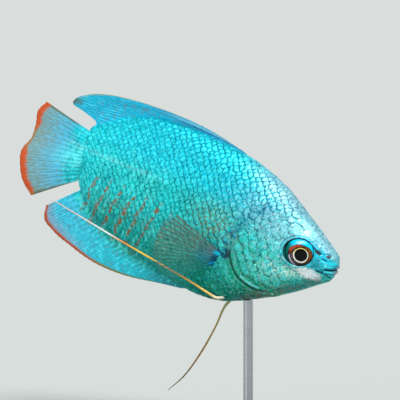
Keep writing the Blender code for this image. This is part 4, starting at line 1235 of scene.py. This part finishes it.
base_rows = [(BASE_HALF[0] - inset, BASE_HALF[1] - inset, up) for inset, up in BASE_PROFILE]
plate = stacked_ovals("stand_base_plate", base_rows, 0.0, BASE_SIDES)
plate.data.set_sharp_from_angle(angle=math.radians(35))
wood = Finish("waxed_dark_wood", Roughness=0.36, Coat_Weight=0.25)
place = wood.node("TexCoord", {}, {}, output=3)
grain = wood.stretched(place, (60.0, 900.0, 900.0), 6.0)
pore = wood.stretched(place, (300.0, 5200.0, 5200.0), 2.0).rise(0.62, 0.72)
tone = wood.mix(grain.rise(0.3, 0.7), (58, 34, 20), (112, 70, 42))
wood.feed(
    Base_Color=wood.mix(pore * 0.6, tone, (34, 20, 12)),
    Roughness=0.32 + 0.2 * grain,
    Normal=wood.bumps(1.0 - pore, 0.05),
)
plate.data.materials.append(wood.material)
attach(plate, "root")
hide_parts("stand_base")


# The rod: turned and brushed steel on a small collar, let into the base below and into the breast
# above. One profile is turned about the rod's axis.
rod_low, rod_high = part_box("stand_rod")
ROD_AT = (rod_low.x + rod_high.x) / 2
ROD_TOP = rod_high.z
ROD_RADIUS, COVE_RADIUS, COVE_TOP, ROD_SIDES = 0.001, 0.0012, 0.0021, 48
COLLAR_RADIUS, COLLAR_FLAT, COLLAR_ROUND, COLLAR_SUNK = 0.0032, 0.0006, 0.0003, 0.0002

quarter_steps = np.radians(np.linspace(0, 90, 6))
collar_edge = [
    (
        COLLAR_RADIUS - COLLAR_ROUND + COLLAR_ROUND * math.cos(a),
        BASE_TOP + COLLAR_FLAT + COLLAR_ROUND * math.sin(a),
    )
    for a in quarter_steps
]
cove = [
    (ROD_RADIUS + COVE_RADIUS * (1 - math.sin(a)), BASE_TOP + COVE_TOP - COVE_RADIUS * math.cos(a))
    for a in quarter_steps
]
foot, top = (COLLAR_RADIUS, BASE_TOP - COLLAR_SUNK), (ROD_RADIUS, ROD_TOP)
rod_rows = [(radius, radius, height) for radius, height in (foot, *collar_edge, *cove, top)]
rod = stacked_ovals("stand_rod_turned", rod_rows, ROD_AT, ROD_SIDES)
rod.data.set_sharp_from_angle(angle=math.radians(50))
steel = Finish("brushed_steel_rod", Metallic=1.0, Roughness=0.3)
place = steel.node("TexCoord", {}, {}, output=3)
lines = steel.stretched(place, (400.0, 400.0, 9000.0), 3.0)
steel.feed(
    Base_Color=steel.mix(lines, (168, 170, 174), (206, 208, 212)),
    Roughness=0.22 + 0.2 * lines,
    Normal=steel.bumps(lines, 0.01),
)
rod.data.materials.append(steel.material)
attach(rod, "root")
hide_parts("stand_rod")


# The studio: a pale matt floor that runs out to a pale surround of the same tone, a large soft key
# light above and in front of the head, and two weaker soft lights from the side and the back.
FLOOR_REACH = 60.0
TARGET = Vector((0.0, 0.0, 0.04897))
CAMERA_AZIMUTH = math.radians(20.0)
CAMERA_DISTANCE = 0.35
FRAME_WIDTH = 0.0828

floor_mesh = bpy.data.meshes.new("floor")
corners = [(x * FLOOR_REACH, y * FLOOR_REACH, 0.0) for x, y in ((-1, -1), (1, -1), (1, 1), (-1, 1))]
floor_mesh.from_pydata(corners, [], [(0, 1, 2, 3)])
floor = bpy.data.objects.new("floor", floor_mesh)
bpy.context.scene.collection.objects.link(floor)
matt = Finish("pale_floor", Roughness=1.0, Specular_IOR_Level=0.0)
matt.feed(Base_Color=colour(206, 208, 204))
floor_mesh.materials.append(matt.material)

world = bpy.data.worlds.new("soft_room")
world.use_nodes = True
room = world.node_tree
seen, shed = room.nodes["Background"], room.nodes.new("ShaderNodeBackground")
seen.inputs["Color"].default_value = colour(217, 222, 220)
shed.inputs["Color"].default_value = colour(190, 200, 204)
either = room.nodes.new("ShaderNodeMixShader")
room.links.new(room.nodes.new("ShaderNodeLightPath").outputs["Is Camera Ray"], either.inputs[0])
room.links.new(shed.outputs[0], either.inputs[1])
room.links.new(seen.outputs[0], either.inputs[2])
room.links.new(either.outputs[0], room.nodes["World Output"].inputs[0])
shed.inputs["Strength"].default_value = 0.75
bpy.context.scene.world = world


def soft_sun(name, azimuth, height, strength, spread):
    """A broad distant light that shines from an azimuth and a height, both in degrees."""
    data = bpy.data.lights.new(name, "SUN")
    data.energy, data.angle = strength, math.radians(spread)
    made = bpy.data.objects.new(name, data)
    a, e = math.radians(azimuth), math.radians(height)
    from_light = Vector((math.sin(a) * math.cos(e), -math.cos(a) * math.cos(e), math.sin(e)))
    made.rotation_mode = "QUATERNION"
    made.rotation_quaternion = (-from_light).to_track_quat("-Z", "Y")
    bpy.context.scene.collection.objects.link(made)


soft_sun("key_light", 40.0, 48.0, 2.5, 24.0)
soft_sun("fill_light", -35.0, 20.0, 0.5, 40.0)
soft_sun("back_light", 190.0, 40.0, 0.4, 30.0)

camera_data = bpy.data.cameras.new("camera")
camera_data.sensor_width = 36.0
camera_data.lens = 36.0 * CAMERA_DISTANCE / FRAME_WIDTH
camera_data.clip_start, camera_data.clip_end = 0.01, 200.0
camera = bpy.data.objects.new("camera", camera_data)
away = Vector((math.sin(CAMERA_AZIMUTH), -math.cos(CAMERA_AZIMUTH), 0.0))
camera.location = TARGET + away * CAMERA_DISTANCE
camera.rotation_mode = "QUATERNION"
camera.rotation_quaternion = (-away).to_track_quat("-Z", "Y")
bpy.context.scene.collection.objects.link(camera)
bpy.context.scene.camera = camera
bpy.context.scene.view_settings.view_transform = "Standard"
